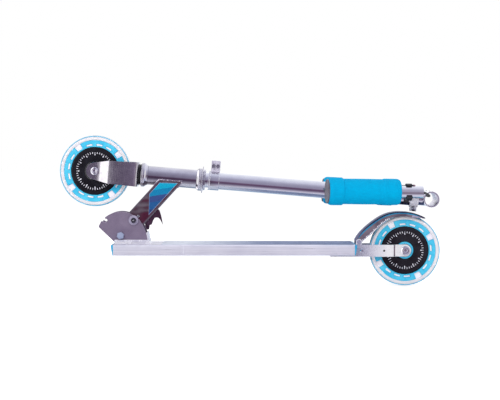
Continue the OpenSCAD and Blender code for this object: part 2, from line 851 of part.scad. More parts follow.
module fender() {
    color([0.6, 0.6, 0.66]) difference() {
        union() {
            translate([fender_x, 0, fender_z]) rotate([90, 0, 0]) rotate([0, 0, fender_from])
                rotate_extrude(angle = fender_to - fender_from)
                    translate([fender_in, -fender_half]) square([fender_t, 2 * fender_half]);
            translate([fender_x, 0, fender_z]) rotate([90, 0, 0])
                rotate([0, 0, fender_from + skirt_gap])
                    rotate_extrude(angle = fender_to - fender_from - skirt_gap)
                        for (y = [skirt_t - fender_half, fender_half])
                            translate([skirt_r, y - skirt_t - skirt_inset * sign(y)])
                                square([fender_in + fender_t / 2 - skirt_r, skirt_t]);
            both_sides() translate([hinge_x, 0, hinge_z])
                rod_y(fender_half - knuckle_len, fender_half, knuckle_r);
        }
        translate([hinge_x, 0, hinge_z]) {
            rod_y(-arm_out, arm_out, hinge_r + run_gap);
            rod_y(-fender_half + knuckle_len, fender_half - knuckle_len, coil_r + 0.5);
        }
    }
}

// Torsion spring around the hinge pin, with one leg under the fender
module brake_spring()
    color("dimgray") translate([hinge_x, 0, hinge_z]) {
        for (i = [0 : coil_turns - 1])
            translate([0, (i - (coil_turns - 1) / 2) * 2 * coil_wire, 0])
                turned_y() translate([coil_r - coil_wire, 0]) circle(r = coil_wire);
    }

// ---- Column, height clamp and handlebar ------------------------------------

module stem_collar()
    color("silver") on_column() difference() {
        union() {
            rod_x(collar_at, collar_at + collar_len, collar_r);
            translate([collar_lug_from, -lug_half, 0])
                cube([collar_at + collar_len - collar_lug_from, 2 * lug_half, lug_top]);
        }
        rod_x(collar_at - 1, collar_at + collar_len + 1, column_r);
        translate([collar_at - 1, -slit / 2, 0]) cube([collar_len + 2, slit, lug_top + 1]);
        for (x = collar_bolt_places()) translate([x, 0, collar_bolt_z])
            rod_y(-lug_half - 1, lug_half + 1, collar_bolt_r);
    }

function collar_bolt_places() =
    let (mid = (collar_lug_from + collar_at + collar_len) / 2) [mid - 3.8, mid + 3.8];

module collar_bolts()
    color("gainsboro") on_column()
        for (x = collar_bolt_places()) translate([x, 0, collar_bolt_z]) {
            rod_y(-lug_half - eps, lug_half + eps, collar_bolt_r);
            translate([0, -lug_half, 0]) socket_head(3.5, 3.5, 1.8);
            translate([0, lug_half, 0]) hex_nut(3.7, 3);
        }

module column_tube()
    color("silver") on_column() difference() {
        pipe_x(collar_at + 1, column_end, column_r, column_bore);
        translate([column_end - 30, -slit / 2, -column_r - 1]) cube([31, slit, column_r]);
        translate([collar_at, -slit / 2, 0]) cube([26, slit, column_r + 1]);
    }

module height_clamp()
    color("silver") on_column() difference() {
        union() {
            rod_x(clamp_at, column_end, clamp_r);
            translate([clamp_mid - clamp_lug / 2, -clamp_ear, -clamp_drop])
                cube([clamp_lug, 2 * clamp_ear, clamp_drop]);
        }
        rod_x(clamp_at - 1, column_end + 1, column_r);
        translate([clamp_at - 1, -slit / 2, -clamp_drop - 1])
            cube([clamp_len + 2, slit, clamp_drop + 1]);
        translate([clamp_mid, 0, clamp_bolt_z])
            rod_y(-clamp_ear - 1, clamp_ear + 1, clamp_bolt_r);
    }

module clamp_bolt()
    color("silver") on_column() translate([clamp_mid, 0, clamp_bolt_z]) {
        rod_y(-clamp_ear - eps, clamp_ear, clamp_bolt_r);
        rod_y(clamp_ear - eps, clamp_cam_y, clamp_eye_half);
        translate([0, -clamp_ear, 0]) rotate([90, 0, 0]) {
            cylinder(h = 2.4, r = 3.7, $fn = 6);
            translate([0, 0, 2.4]) cylinder(h = 2, r1 = 3.1, r2 = 1.8);
        }
        translate([0, clamp_cam_y, 0]) rotate([0, -90, 0])
            cam_eye(clamp_cam_r - 0.6, clamp_eye_half, clamp_pin_r, clamp_lever_half);
    }

module clamp_lever()
    color([0.25, 0.25, 0.27]) on_column()
        translate([clamp_mid, clamp_cam_y, clamp_bolt_z]) rotate([0, -90, 0]) {
            cam_cheeks(clamp_cam_r, clamp_eye_half, clamp_lever_half, clamp_pin_r);
            translate([0, 0, -clamp_lever_half]) linear_extrude(height = 2 * clamp_lever_half)
                polygon([
                    [4.4, 0], [9, 3.2], [15, 5.1], [18, 5.2], [18, 7.6], [14, 7.6],
                    [8, 6], [4.4, 3.2]
                ]);
        }

// Spring jaw of the grip clip, open away from the column, with a groove that
// lets the grip's snap button through
module clip_jaw()
    difference() {
        rod_x(-clip_len / 2, clip_len / 2, clip_bore + clip_wall);
        translate([-clip_len, 0, 0]) rotate([90, 0, 90])
            linear_extrude(height = 2 * clip_len)
                polygon([[0, 0], 30 * [-cos(33), -sin(33)], [-30, 0], 30 * [-cos(60), sin(60)]]);
    }

module clip_bore_cut()
    union() {
        rod_x(-clip_len, clip_len, clip_bore);
        translate([-clip_len, -button_r - air_gap, 0])
            cube([2 * clip_len, 2 * (button_r + air_gap),
                  handle_r + button_up + air_gap]);
    }

module clip_arm(rise)
    translate([-clip_len / 2, 0, 0]) rotate([90, 0, 90]) linear_extrude(height = clip_len)
        polygon([[-grip_out + 9, rise - 8], [-grip_out + 9, rise + 8], [0, column_r],
                 [0, -column_r * 0.6]]);

module grip_clip()
    color([0.08, 0.08, 0.09]) difference() {
        union() {
            on_column() rod_x(clip_mid - clip_len / 2, clip_mid + clip_len / 2,
                              column_r + clip_ring);
            on_near_grip() clip_jaw();
            on_far_grip() translate([far_shift, 0, 0]) mirror([0, 1, 0]) clip_jaw();
            on_column() translate([clip_mid, 0, 0]) {
                clip_arm(near_rise);
                mirror([0, 1, 0]) clip_arm(far_rise);
            }
        }
        on_column() rod_x(clip_mid - clip_len, clip_mid + clip_len, column_r);
        on_column() translate([clip_mid - clip_len, -column_r, -2 * column_r - clip_drop])
            cube([2 * clip_len, 2 * column_r, 2 * column_r]);
        on_near_grip() clip_bore_cut();
        on_far_grip() translate([far_shift, 0, 0]) clip_bore_cut();
    }

module inner_tube()
    color("silver") on_column() difference() {
        pipe_x(inner_from, bar_at, inner_r, inner_r - inner_wall);
        translate([bar_at, 0, 0]) rod_y(-bar_len, bar_len, bar_r);
    }

module handlebar_tube()
    color([0.85, 0.83, 0.9]) on_column() translate([bar_at, 0, 0]) difference() {
        pipe_y(-bar_len / 2, bar_len / 2, bar_r, bar_bore);
        for (y = [-1, 1]) translate([0, y * (bar_len / 2 - handle_end + button_x), 0])
            cylinder(h = bar_d, r = button_r + air_gap);
    }

// Ring of points around the cord's route at its point i
function cord_ring(path, i, sides) =
    let (
        last = len(path) - 1,
        along = path[min(i + 1, last)] - path[max(i - 1, 0)],
        ahead = along / norm(along),
        side = cross(ahead, [0, 0, 1]) / norm(cross(ahead, [0, 0, 1])),
        up = cross(side, ahead)
    )
    [for (k = [0 : sides - 1])
        path[i] + cord_r * (cos(360 * k / sides) * side + sin(360 * k / sides) * up)];

module elastic_cord() {
    sides = 8;
    rings = len(CORD);
    color([0.1, 0.1, 0.11]) on_column() polyhedron(
        points = [for (i = [0 : rings - 1]) each cord_ring(CORD, i, sides)],
        faces = concat(
            [[for (k = [0 : sides - 1]) k]],
            [for (i = [0 : rings - 2], k = [0 : sides - 1])
                let (a = i * sides, b = a + sides, n = (k + 1) % sides)
                [a + k, b + k, b + n, a + n]],
            [[for (k = [sides - 1 : -1 : 0]) (rings - 1) * sides + k]]
        ));
}

// ---- Grips ---------------------------------------------------------------

module grip_tube()
    difference() {
        pipe_x(foam_from, handle_end, handle_r, handle_bore);
        translate([button_x, 0, 0]) cylinder(h = handle_d, r = button_r + run_gap);
    }

module grip_foam()
    turned_x()
        polygon([
            [handle_r, foam_from], [outer_band_d / 2 - foam_edge, foam_from],
            [outer_band_d / 2, foam_from + foam_edge],
            [outer_band_d / 2, foam_from + outer_band - 1],
            [foam_d / 2 - 0.5, foam_from + outer_band],
            [foam_d / 2, (foam_from + foam_to) / 2],
            [foam_d / 2 - 0.5, foam_to - inner_band],
            [inner_band_d / 2, foam_to - inner_band + 1],
            [inner_band_d / 2, foam_to - foam_edge],
            [inner_band_d / 2 - foam_edge, foam_to], [handle_r, foam_to]
        ]);

module grip_cap()
    turned_x()
        polygon([
            [0, foam_from - cap_t], [cap_r * 0.6, foam_from - cap_t + 0.5],
            [cap_r - 1, foam_from - cap_t + 2], [cap_r, foam_from - cap_t + 3],
            [cap_r, foam_from], [handle_bore, foam_from], [handle_bore, foam_from + 12],
            [0, foam_from + 12]
        ]);

module snap_button()
    translate([button_x, 0, handle_bore - 4]) {
        cylinder(h = 4 + handle_wall + button_up - 1, r = button_r);
        translate([0, 0, 4 + handle_wall + button_up - 1])
            cylinder(h = 1, r1 = button_r, r2 = button_r - 1.2);
    }

module near_grip_tube() color("silver") on_near_grip() grip_tube();
module near_grip_foam() color([0.05, 0.68, 0.88]) on_near_grip() grip_foam();
module near_grip_cap() color("gray") on_near_grip() grip_cap();
module near_button() color("gainsboro") on_near_grip() snap_button();
module far_grip_tube() color("silver") on_far_grip() grip_tube();
module far_grip_foam() color([0.05, 0.68, 0.88]) on_far_grip() grip_foam();
module far_grip_cap() color("gray") on_far_grip() grip_cap();
module far_button() color("gainsboro") on_far_grip() snap_button();

deck_board();
grip_mat();
front_end_cap();
rear_end_cap();
bracket_plates();
bracket_base();
pivot_bolt();
pivot_nut();
rear_arms();
arm_spacer();
arm_screws();
rear_axle_bolt();
rear_axle_nut();
rear_spacers();
hinge_pin();
brake_spring();
fender();
neck_box();
head_tube();
lower_cup();
upper_cup();
headset_bearings();
lock_bolt();
lock_washers();
fold_lever();
fork();
steerer_tube();
lower_seal();
headset_ring();
headset_nut();
stem_collar();
collar_bolts();
column_tube();
height_clamp();
clamp_bolt();
clamp_lever();
grip_clip();
front_axle_bolt();
front_axle_nut();
front_spacers();
inner_tube();
handlebar_tube();
elastic_cord();
near_grip_tube();
near_grip_foam();
near_grip_cap();
near_button();
far_grip_tube();
far_grip_foam();
far_grip_cap();
far_button();
front_tyre();
front_core();
front_discs();
front_bearings();
rear_tyre();
rear_core();
rear_discs();
rear_bearings();
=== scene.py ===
from math import atan2, cos, degrees, pi, radians, sin, sqrt, tau

import bmesh
import bpy
from mathutils import Matrix, Vector


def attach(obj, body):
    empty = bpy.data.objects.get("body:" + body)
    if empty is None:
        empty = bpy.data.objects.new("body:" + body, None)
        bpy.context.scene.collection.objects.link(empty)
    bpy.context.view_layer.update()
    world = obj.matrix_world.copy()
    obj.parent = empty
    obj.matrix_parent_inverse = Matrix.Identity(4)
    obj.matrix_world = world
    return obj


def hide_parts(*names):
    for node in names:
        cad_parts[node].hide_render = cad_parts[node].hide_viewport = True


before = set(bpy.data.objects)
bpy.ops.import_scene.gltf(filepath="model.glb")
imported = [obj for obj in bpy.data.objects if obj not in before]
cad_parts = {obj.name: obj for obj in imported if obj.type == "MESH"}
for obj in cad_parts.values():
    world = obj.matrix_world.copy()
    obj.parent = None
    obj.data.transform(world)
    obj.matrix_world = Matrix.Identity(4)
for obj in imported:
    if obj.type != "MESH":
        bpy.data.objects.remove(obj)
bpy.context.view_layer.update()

# ---- Sizes of the scooter, in metres --------------------------------------

LEAN = radians(4.78)
NECK_SLANT = radians(47.5)
WHEEL_R, WHEEL_HALF = 0.060, 0.012
CORE_R, DISC_R, HUB_R = 0.052, 0.0405, 0.0145
WEB_HALF, RIM_HALF, DISC_T = 0.008, 0.011, 0.0015
FRONT_AXLE = Vector((-0.2615, 0, 0.194))
REAR_AXLE = Vector((0.2615, 0, 0.060))
FRONT_TURN, REAR_TURN = radians(35), radians(28)
PIVOT = Vector((-0.2179, 0, 0.0853))
LOCK_R, LOCK_ANGLE = 0.034, radians(49.7)
DECK_FRONT, DECK_REAR = -0.228, 0.1745
DECK_TOP, DECK_H, DECK_HALF = 0.0717, 0.0183, 0.050
PLATE_IN, PLATE_OUT = 0.0153, 0.0193
BAR_AT, GRIP_AT, GRIP_OUT, GRIP_SLANT = 0.5665, 0.5275, 0.0358, radians(7.5)

# ---- Places ---------------------------------------------------------------


def turn_x(angle):
    return Matrix.Rotation(angle, 4, "X")


def turn_y(angle):
    return Matrix.Rotation(angle, 4, "Y")


def turn_z(angle):
    return Matrix.Rotation(angle, 4, "Z")


def move(x, y, z):
    return Matrix.Translation((x, y, z))


def along_y(x, z, side=-1):
    """A place whose X axis runs out of the near side, or out of the far one."""
    return move(x, 0, z) @ turn_z(side * pi / 2)


COLUMN = Matrix.Translation(FRONT_AXLE) @ turn_y(LEAN)
NEAR_GRIP = (COLUMN @ move(GRIP_AT, -GRIP_OUT, 0.009) @ turn_y(radians(-3.9))
             @ turn_z(GRIP_SLANT))
FAR_GRIP = (COLUMN @ move(GRIP_AT, GRIP_OUT, 0.0047) @ turn_y(radians(-2.6))
            @ turn_z(-GRIP_SLANT) @ move(-0.0014, 0, 0))
REAR = Matrix.Translation(REAR_AXLE)
AT_PIVOT = Matrix.Translation(PIVOT)
NECK = AT_PIVOT @ turn_y(-NECK_SLANT)
LOCK = move(PIVOT.x + LOCK_R * cos(LOCK_ANGLE), 0, PIVOT.z + LOCK_R * sin(LOCK_ANGLE))
SAME = Matrix.Identity(4)

# ---- Mesh helpers ---------------------------------------------------------


def add_object(name, mesh):
    obj = bpy.data.objects.new(name, mesh)
    bpy.context.scene.collection.objects.link(obj)
    return obj


def to_mesh(name, bm):
    """Turns a bmesh into a mesh, and frees it."""
    mesh = bpy.data.meshes.new(name)
    bm.to_mesh(mesh)
    bm.free()
    return mesh


def mesh_object(name, bm, material, smooth=35):
    """Makes an object of a bmesh, with edges sharper than the smooth angle kept crisp."""
    bmesh.ops.remove_doubles(bm, verts=bm.verts, dist=1e-6)
    bmesh.ops.recalc_face_normals(bm, faces=bm.faces)
    for face in bm.faces:
        face.smooth = True
    for edge in bm.edges:
        edge.smooth = len(edge.link_faces) == 2 and edge.calc_face_angle(0) < radians(smooth)
    mesh = to_mesh(name, bm)
    mesh.materials.append(material)
    return add_object(name, mesh)


def bake(obj):
    """Turns an object and its live modifiers into a plain mesh."""
    depsgraph = bpy.context.evaluated_depsgraph_get()
    mesh = bpy.data.meshes.new_from_object(obj.evaluated_get(depsgraph))
    obj.modifiers.clear()
    obj.data = mesh
    return obj


def bevel(obj, width, segments=2, angle=30):
    mod = obj.modifiers.new("edge", "BEVEL")
    mod.width = width
    mod.segments = segments
    mod.limit_method = "ANGLE"
    mod.angle_limit = radians(angle)
    mod.harden_normals = True
    mod.use_clamp_overlap = True
    return bake(obj)


def ride(obj, body, slot, *nodes):
    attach(obj, body)
    if nodes:
        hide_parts(*nodes)
    return obj


def piece(name, bm, material, body, slot, *nodes, smooth=35, edge=None, second=None):
    """Makes a piece that rides on a body in place of CAD nodes.

    The edge is the bevel's width, steps and angle. The second is another material and a test
    that picks its faces.
    """
    obj = mesh_object(name, bm, material, smooth)
    if edge:
        bevel(obj, *edge)
    if second:
        obj.data.materials.append(second[0])
        for face in obj.data.polygons:
            face.material_index = int(second[1](face))
    return ride(obj, body, slot, *nodes)


def mirrored(near, far):
    """A span on both sides of the middle plane, the near side first."""
    return (-far, -near), (near, far)


def mirror(half, *middle):
    """Half a profile, the points in its middle, and the half again the other way round."""
    return [*half, *middle, *((-p[0], *p[1:]) for p in reversed(half))]


def skin(bm, rings):
    """Joins closed rings of vertices, each to the next."""
    for one, two in zip(rings, rings[1:]):
        for k in range(len(one)):
            n = (k + 1) % len(one)
            bm.faces.new((one[k], one[n], two[n], two[k]))


def cap_ends(bm, rings):
    bm.faces.new(rings[0])
    bm.faces.new(list(reversed(rings[-1])))


def loft(bm, rings, place=SAME):
    """A closed solid through rings of points."""
    rings = [[bm.verts.new(place @ Vector(p)) for p in ring] for ring in rings]
    skin(bm, rings)
    cap_ends(bm, rings)


def rounded_corner(before, point, after, radius, steps):
    """The points that take the place of a corner."""
    p = Vector(point[:2])
    own = point[2] if len(point) > 2 else radius
    if own <= 0:
        return [p]
    before, after = Vector(before[:2]) - p, Vector(after[:2]) - p
    reach = min(own, before.length * 0.49, after.length * 0.49)
    a, b = p + before.normalized() * reach, p + after.normalized() * reach
    return [a.lerp(p, k / steps).lerp(p.lerp(b, k / steps), k / steps)
            for k in range(steps + 1)]


def round_profile(points, radius, steps=5):
    """Rounds the corners of an open profile. Each point is (x, r) or (x, r, own radius)."""
    out = [Vector(points[0][:2])]
    for before, point, after in zip(points, points[1:], points[2:]):
        out += rounded_corner(before, point, after, radius, steps)
    return out + [Vector(points[-1][:2])]


def round_corners(outline, radius, steps=5):
    """Rounds the corners of a closed outline. Each point is (x, z) or (x, z, own radius)."""
    out = []
    for i, point in enumerate(outline):
        out += rounded_corner(outline[i - 1], point, outline[(i + 1) % len(outline)],
                              radius, steps)
    return [tuple(p) for p in out]


def lathe(bm, profile, place, radius=0.0, around=96, steps=5, closed=False, arc=tau, start=0.0):
    """Revolves a profile of (x, r) around the X axis of a place."""
    points = round_profile(profile, radius, steps) if radius or closed else [
        Vector(p[:2]) for p in profile]
    full = abs(arc - tau) < 1e-6
    rings = []
    for i in range(around if full else around + 1):
        a = start + arc * i / around
        rings.append([
            bm.verts.new(place @ Vector((p.x, p.y * cos(a), p.y * sin(a)))) for p in points])
    count = len(points)
    for i in range(len(rings) if full else len(rings) - 1):
        one, two = rings[i], rings[(i + 1) % len(rings)]
        for k in range(count if closed else count - 1):
            n = (k + 1) % count
            corners = [one[k], one[n], two[n], two[k]]
            if points[k].y < 1e-9:
                del corners[3]
            elif points[n].y < 1e-9:
                del corners[2]
            bm.faces.new(corners)
    if not full and closed:
        cap_ends(bm, rings)


def turned(name, material, rides, profile, place, radius=0.0, smooth=35, **how):
    """A piece with one lathed shape. What it rides on is its body, slot and CAD nodes; the slot is
    not used.
    """
    bm = bmesh.new()
    lathe(bm, profile, place, radius, **how)
    return piece(name, bm, material, *rides, smooth=smooth)


def turned_pair(name, material, rides, profile, x, z, radius=0.0, **how):
    """A piece with the same lathed shape on the near and on the far side."""
    bm = bmesh.new()
    for side in (-1, 1):
        lathe(bm, profile, along_y(x, z, side), radius, **how)
    return piece(name, bm, material, *rides)


def circle(radius, count):
    return arc_points((0, 0), radius, 0, 360, count)[:-1]


def hex_head(bm, place, inner, outer, radius, hole=0.0):
    """Hexagon with a chamfered outer face, along the X axis of a place."""
    step = (outer - inner) * 0.2
    lathe(bm, [(inner, hole), (inner, radius), (outer - step, radius),
               (outer, radius * 0.88), (outer, hole)], place, around=6)


def prism(bm, outline, low, high, place=SAME, hole=()):
    """Gives an outline in X and Z a thickness from one Y to another."""
    loops = [[[bm.verts.new(place @ Vector((x, y, z))) for x, z in loop] for y in (low, high)]
             for loop in (outline, hole) if loop]
    for ends in loops:
        skin(bm, ends)
    if not hole:
        for ring in loops[0]:
            bm.faces.new(ring)
        return
    for rings in zip(*loops):
        edges = [bm.edges.get((ring[k], ring[(k + 1) % len(ring)]))
                 for ring in rings for k in range(len(ring))]
        bmesh.ops.triangle_fill(bm, use_beauty=True, use_dissolve=False, edges=edges)


def box(bm, low, high, place=SAME):
    """Adds a block between two corners."""
    made = bmesh.ops.create_cube(bm, size=1)
    mid = [(a + b) / 2 for a, b in zip(low, high)]
    for vert in made["verts"]:
        vert.co = Vector([m + v * (b - a) for m, v, a, b in zip(mid, vert.co, low, high)])
        vert.co = place @ vert.co


def arc_points(centre, radius, start, end, count):
    """Points on an arc in degrees, around a centre in X and Z."""
    angles = (radians(start + (end - start) * i / count) for i in range(count + 1))
    return [(centre[0] + radius * cos(a), centre[1] + radius * sin(a)) for a in angles]


def swept_tube(bm, points, radius, sides=16, place=SAME):
    """Sweeps a round section along a line of points."""
    rings = []
    side = None
    for i, point in enumerate(points):
        p = Vector(point)
        ahead = (Vector(points[min(i + 1, len(points) - 1)]) - Vector(points[max(i - 1, 0)]))
        ahead.normalize()
        if side is None:
            side = ahead.orthogonal().normalized()
        side = (side - ahead * side.dot(ahead)).normalized()
        up = ahead.cross(side)
        r = radius(i / (len(points) - 1)) if callable(radius) else radius
        rings.append([p + r * (cos(tau * k / sides) * side + sin(tau * k / sides) * up)
                      for k in range(sides)])
    loft(bm, rings, place)


def smooth_line(points, per=6):
    """A smooth line through points."""
    pts = [Vector(p) for p in points]
    out = []
    for i in range(len(pts) - 1):
        a, b = pts[max(i - 1, 0)], pts[i]
        c, d = pts[i + 1], pts[min(i + 2, len(pts) - 1)]
        for k in range(per):
            t = k / per
            out.append(0.5 * ((2 * b) + (c - a) * t + (2 * a - 5 * b + 4 * c - d) * t * t
                              + (3 * b - a - 3 * c + d) * t ** 3))
    out.append(pts[-1])
    return out


def clean_copy(name, node, material, *edge):
    """A merged copy of a CAD node's mesh, its flat faces joined up and its edges bevelled."""
    bm = bmesh.new()
    bm.from_mesh(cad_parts[node].data)
    bmesh.ops.remove_doubles(bm, verts=bm.verts, dist=2e-6)
    bmesh.ops.dissolve_limit(bm, angle_limit=radians(1.5), verts=bm.verts, edges=bm.edges)
    obj = mesh_object(name, bm, material)
    return bevel(obj, *edge) if edge else obj

# ---- Materials ------------------------------------------------------------


def tone(red, green, blue):
    """A screen colour, 0 to 255, as the linear colour a shader takes."""
    return tuple(
        (v / 255 / 12.92 if v <= 10 else ((v / 255 + 0.055) / 1.055) ** 2.4)
        for v in (red, green, blue)) + (1.0,)


def wide(colour):
    """Turns a screen colour of three numbers into a linear one, and leaves the rest alone."""
    return tone(*colour) if hasattr(colour, "__len__") and len(colour) == 3 else colour


class Wiring:
    """Short ways to add nodes to a tree and to link them."""

    def __init__(self, tree):
        self.nodes, self.links = tree.nodes, tree.links

    def feed(self, node, inputs):
        """Sets or links inputs. They are pairs of a socket and a value, output or node."""
        for key, value in inputs:
            if isinstance(value, bpy.types.Node):
                value = value.outputs[0]
            if isinstance(value, bpy.types.NodeSocket):
                self.links.new(value, node.inputs[key])
            else:
                node.inputs[key].default_value = value

    def add(self, kind, *inputs, **settings):
        node = self.nodes.new(kind)
        for key, value in settings.items():
            setattr(node, key, value)
        self.feed(node, inputs)
        return node

    def math(self, operation, one, two=0.0):
        return self.add("ShaderNodeMath", (0, one), (1, two), operation=operation).outputs[0]

    def times(self, one, two):
        return self.math("MULTIPLY", one, two)

    def blend(self, one, share, two, other_share):
        """Adds a share of one value to a share of another."""
        return self.math("ADD", self.times(one, share), self.times(two, other_share))

    def span(self, value, low, high, out_low=0.0, out_high=1.0):
        return self.add("ShaderNodeMapRange", ("Value", value), ("From Min", low),
                        ("From Max", high), ("To Min", out_low), ("To Max", out_high)).outputs[0]


class Finish(Wiring):
    """A node material, built up from patterns on the object's own coordinates."""

    def __init__(self, name, **sockets):
        self.mat = bpy.data.materials.new(name)
        self.mat.use_nodes = True
        super().__init__(self.mat.node_tree)
        self.shader = self.nodes["Principled BSDF"]
        self.coords = self.add("ShaderNodeTexCoord")
        self.feed(self.shader, [(key.replace("_", " "), wide(value))
                                for key, value in sockets.items()])
        self.height = None

    def place(self, scale=(1, 1, 1), turn=(0, 0, 0), shift=(0, 0, 0)):
        return self.add("ShaderNodeMapping", ("Vector", self.coords.outputs["Object"]),
                        ("Scale", scale), ("Rotation", turn), ("Location", shift)).outputs[0]

    def noise(self, scale, detail=3.0, rough=0.5, stretch=(1, 1, 1), turn=(0, 0, 0), warp=0.0):
        return self.add("ShaderNodeTexNoise", ("Vector", self.place(stretch, turn)),
                        ("Scale", scale), ("Detail", detail), ("Roughness", rough),
                        ("Distortion", warp)).outputs["Fac"]

    def cells(self, scale, stretch=(1, 1, 1), turn=(0, 0, 0), jitter=1.0):
        return self.add("ShaderNodeTexVoronoi", ("Vector", self.place(stretch, turn)),
                        ("Scale", scale), ("Randomness", jitter)).outputs["Distance"]

    def ramp(self, value, *stops, **settings):
        """Colours a value. The stops are pairs of a position and a screen colour."""
        node = self.add("ShaderNodeValToRGB", ("Fac", value))
        bar = node.color_ramp
        for key, setting in settings.items():
            setattr(bar, key, setting)
        while len(bar.elements) < len(stops):
            bar.elements.new(0.5)
        for element, (at, colour) in zip(bar.elements, stops):
            element.position = at
            element.color = wide(colour)
        return node.outputs["Color"]

    def mix(self, factor, one, two):
        return self.add("ShaderNodeMix", (0, factor), (6, wide(one)), (7, wide(two)),
                        data_type="RGBA").outputs[2]

    def axis(self, index, vector=None):
        return self.add("ShaderNodeSeparateXYZ", (0, vector or self.place())).outputs[index]

    def geometry(self, output):
        return self.add("ShaderNodeNewGeometry").outputs[output]

    def colour(self, value):
        self.feed(self.shader, [("Base Color", value)])

    def rough(self, value, low, high, value_low=0.3, value_high=0.7):
        """Spreads a pattern over a range of roughness."""
        self.feed(self.shader, [("Roughness", self.span(value, value_low, value_high, low, high))])

    def bump(self, value, strength=0.2, distance=0.0005):
        node = self.add("ShaderNodeBump", ("Strength", strength), ("Distance", distance),
                        ("Height", value))
        if self.height:
            self.feed(node, [("Normal", self.height)])
        self.height = node.outputs["Normal"]
        self.feed(self.shader, [("Normal", self.height)])
        return self


def polished(name, light, dark, rough=(0.05, 0.14), grain=(1, 1, 1), turn=(0, 0, 0)):
    """Plated tube or sheet: nearly a mirror, with faint smears and drawing lines."""
    f = Finish(name, Metallic=1.0)
    smear = f.noise(38, 4, 0.6)
    f.colour(f.ramp(smear, (0.35, dark), (0.65, light)))
    lines = f.noise(900, 2, 0.5, grain, turn)
    f.rough(f.times(smear, lines), *rough, 0.1, 0.5)
    return f.bump(lines, 0.03, 0.0001).mat


def moulded(name, light, dark, rough=(0.2, 0.32), grain=1400, strength=0.06, coat=0.2):
    """Moulded plastic with a faint grain and slight colour flow."""
    f = Finish(name, Coat_Weight=coat, Coat_Roughness=0.06)
    f.colour(f.ramp(f.noise(55, 4, 0.55, warp=0.6), (0.35, dark), (0.65, light)))
    fine = f.noise(grain, 2, 0.5)
    f.rough(fine, *rough)
    return f.bump(fine, strength, 0.0002).mat


def zinc_finish():
    """Zinc-plated screws, nuts and washers, slightly mottled."""
    f = Finish("bright_zinc", Metallic=1.0)
    mottle = f.noise(700, 3, 0.6)
    f.colour(f.ramp(mottle, (0.3, (176, 176, 184)), (0.7, (226, 224, 232))))
    f.rough(f.noise(1500, 2), 0.16, 0.34)
    return f.bump(mottle, 0.06, 0.0002).mat


def deck_finish():
    """Silver lacquer on the drawn board, with faint lines along its length."""
    f = Finish("silver_lacquer", Metallic=0.35, Coat_Weight=0.25, Coat_Roughness=0.12)
    lines = f.noise(420, 3, 0.6, (0.02, 1, 1))
    base = f.ramp(f.blend(lines, 0.5, f.noise(16, 3, 0.5), 0.5),
                  (0.35, (214, 213, 231)), (0.62, (238, 237, 250)))
    scuff = f.span(f.noise(120, 5, 0.7, (0.25, 1, 1)), 0.66, 0.74)
    f.colour(f.mix(scuff, base, (188, 186, 200)))
    f.rough(lines, 0.26, 0.4)
    return f.bump(lines, 0.05, 0.0002).mat


def plate_finish():
    """Silver lacquer of the bracket's foot, over rolled plate, paler on outer edges."""
    f = Finish("plate_lacquer", Metallic=0.3, Coat_Weight=0.3, Coat_Roughness=0.1)
    cloud = f.noise(60, 4, 0.55)
    base = f.ramp(cloud, (0.3, (206, 204, 226)), (0.7, (246, 245, 253)))
    f.colour(f.mix(f.span(f.geometry("Pointiness"), 0.52, 0.62), base, (244, 243, 248)))
    f.rough(cloud, 0.2, 0.34)
    return f.bump(f.noise(1400, 2, 0.5), 0.05, 0.0002).mat


def fender_finish():
    """Dark plated strip of the fender, with a painted pale reflection low down by the hinge."""
    f = Finish("fender_plating", Metallic=1.0, Specular_Tint=(112, 116, 150))
    cloud = f.noise(120, 4, 0.6)
    dark = f.ramp(cloud, (0.3, (52, 60, 88)), (0.7, (92, 98, 126)))
    # Painted reflection: the strip turns pale towards its low end by the hinge.
    f.colour(f.mix(f.span(f.axis(2), 0.104, 0.080), dark, (176, 174, 194)))
    f.rough(cloud, 0.1, 0.22)
    return f.bump(cloud, 0.06, 0.0003).mat


def arm_lacquer():
    """Silver lacquer of the arms: speckled near the board, smooth at the axle, with painted light
    that brightens it towards the axle.
    """
    f = Finish("arm_lacquer", Metallic=0.3, Coat_Weight=0.3, Coat_Roughness=0.1)
    speck = f.noise(900, 4, 0.7)
    # Painted light: the colour ramps from grey to white along the arm towards the axle; the same
    # ramp fades the speckle out.
    painted_light_and_speckle_fade = f.span(f.axis(0), 0.176, 0.232)
    base = f.ramp(painted_light_and_speckle_fade, (0.0, (170, 164, 186)), (0.35, (206, 202, 220)),
                  (0.62, (240, 238, 248)), (1.0, (255, 254, 255)))
    dots = f.ramp(speck, (0.45, (150, 144, 168)), (0.6, (236, 234, 246)))
    shown = f.mix(f.times(f.math("SUBTRACT", 1.0, painted_light_and_speckle_fade), 0.55), base, dots)
    f.colour(f.mix(f.span(f.axis(2), 0.0702, 0.0712), shown, (244, 242, 250)))
    f.rough(speck, 0.24, 0.4)
    return f.bump(speck, 0.06, 0.0002).mat


def bracket_finish():
    """Matte grey-lilac lacquer with a fine powder grain, and painted light that makes it paler
    where it faces up.
    """
    f = Finish("bracket_lacquer", Metallic=0.1, Specular_IOR_Level=0.3)
    grain = f.noise(2200, 3, 0.7)
    base = f.ramp(f.blend(grain, 0.5, f.noise(45, 4, 0.6), 0.5),
                  (0.36, (110, 97, 122)), (0.64, (132, 119, 142)))
    # Painted light: faces that point up are mixed towards a pale tone.
    up = f.axis(2, f.geometry("Normal"))
    f.colour(f.mix(f.span(up, 0.25, 0.7), base, (196, 188, 210)))
    f.rough(grain, 0.45, 0.62)
    return f.bump(grain, 0.16, 0.0003).mat


def fork_finish():
    """Dull steel strip with a fine speckle and faint rolling marks."""
    f = Finish("rolled_strip", Metallic=1.0)
    brush = f.noise(1500, 3, 0.6, (0.5, 1, 0.05))
    f.colour(f.ramp(f.blend(brush, 0.35, f.noise(90, 5, 0.65), 0.65),
                    (0.36, (196, 190, 196)), (0.64, (232, 228, 232))))
    f.rough(brush, 0.13, 0.22)
    return f.bump(brush, 0.05, 0.0001).bump(f.noise(500, 4, 0.7), 0.08, 0.0002).mat


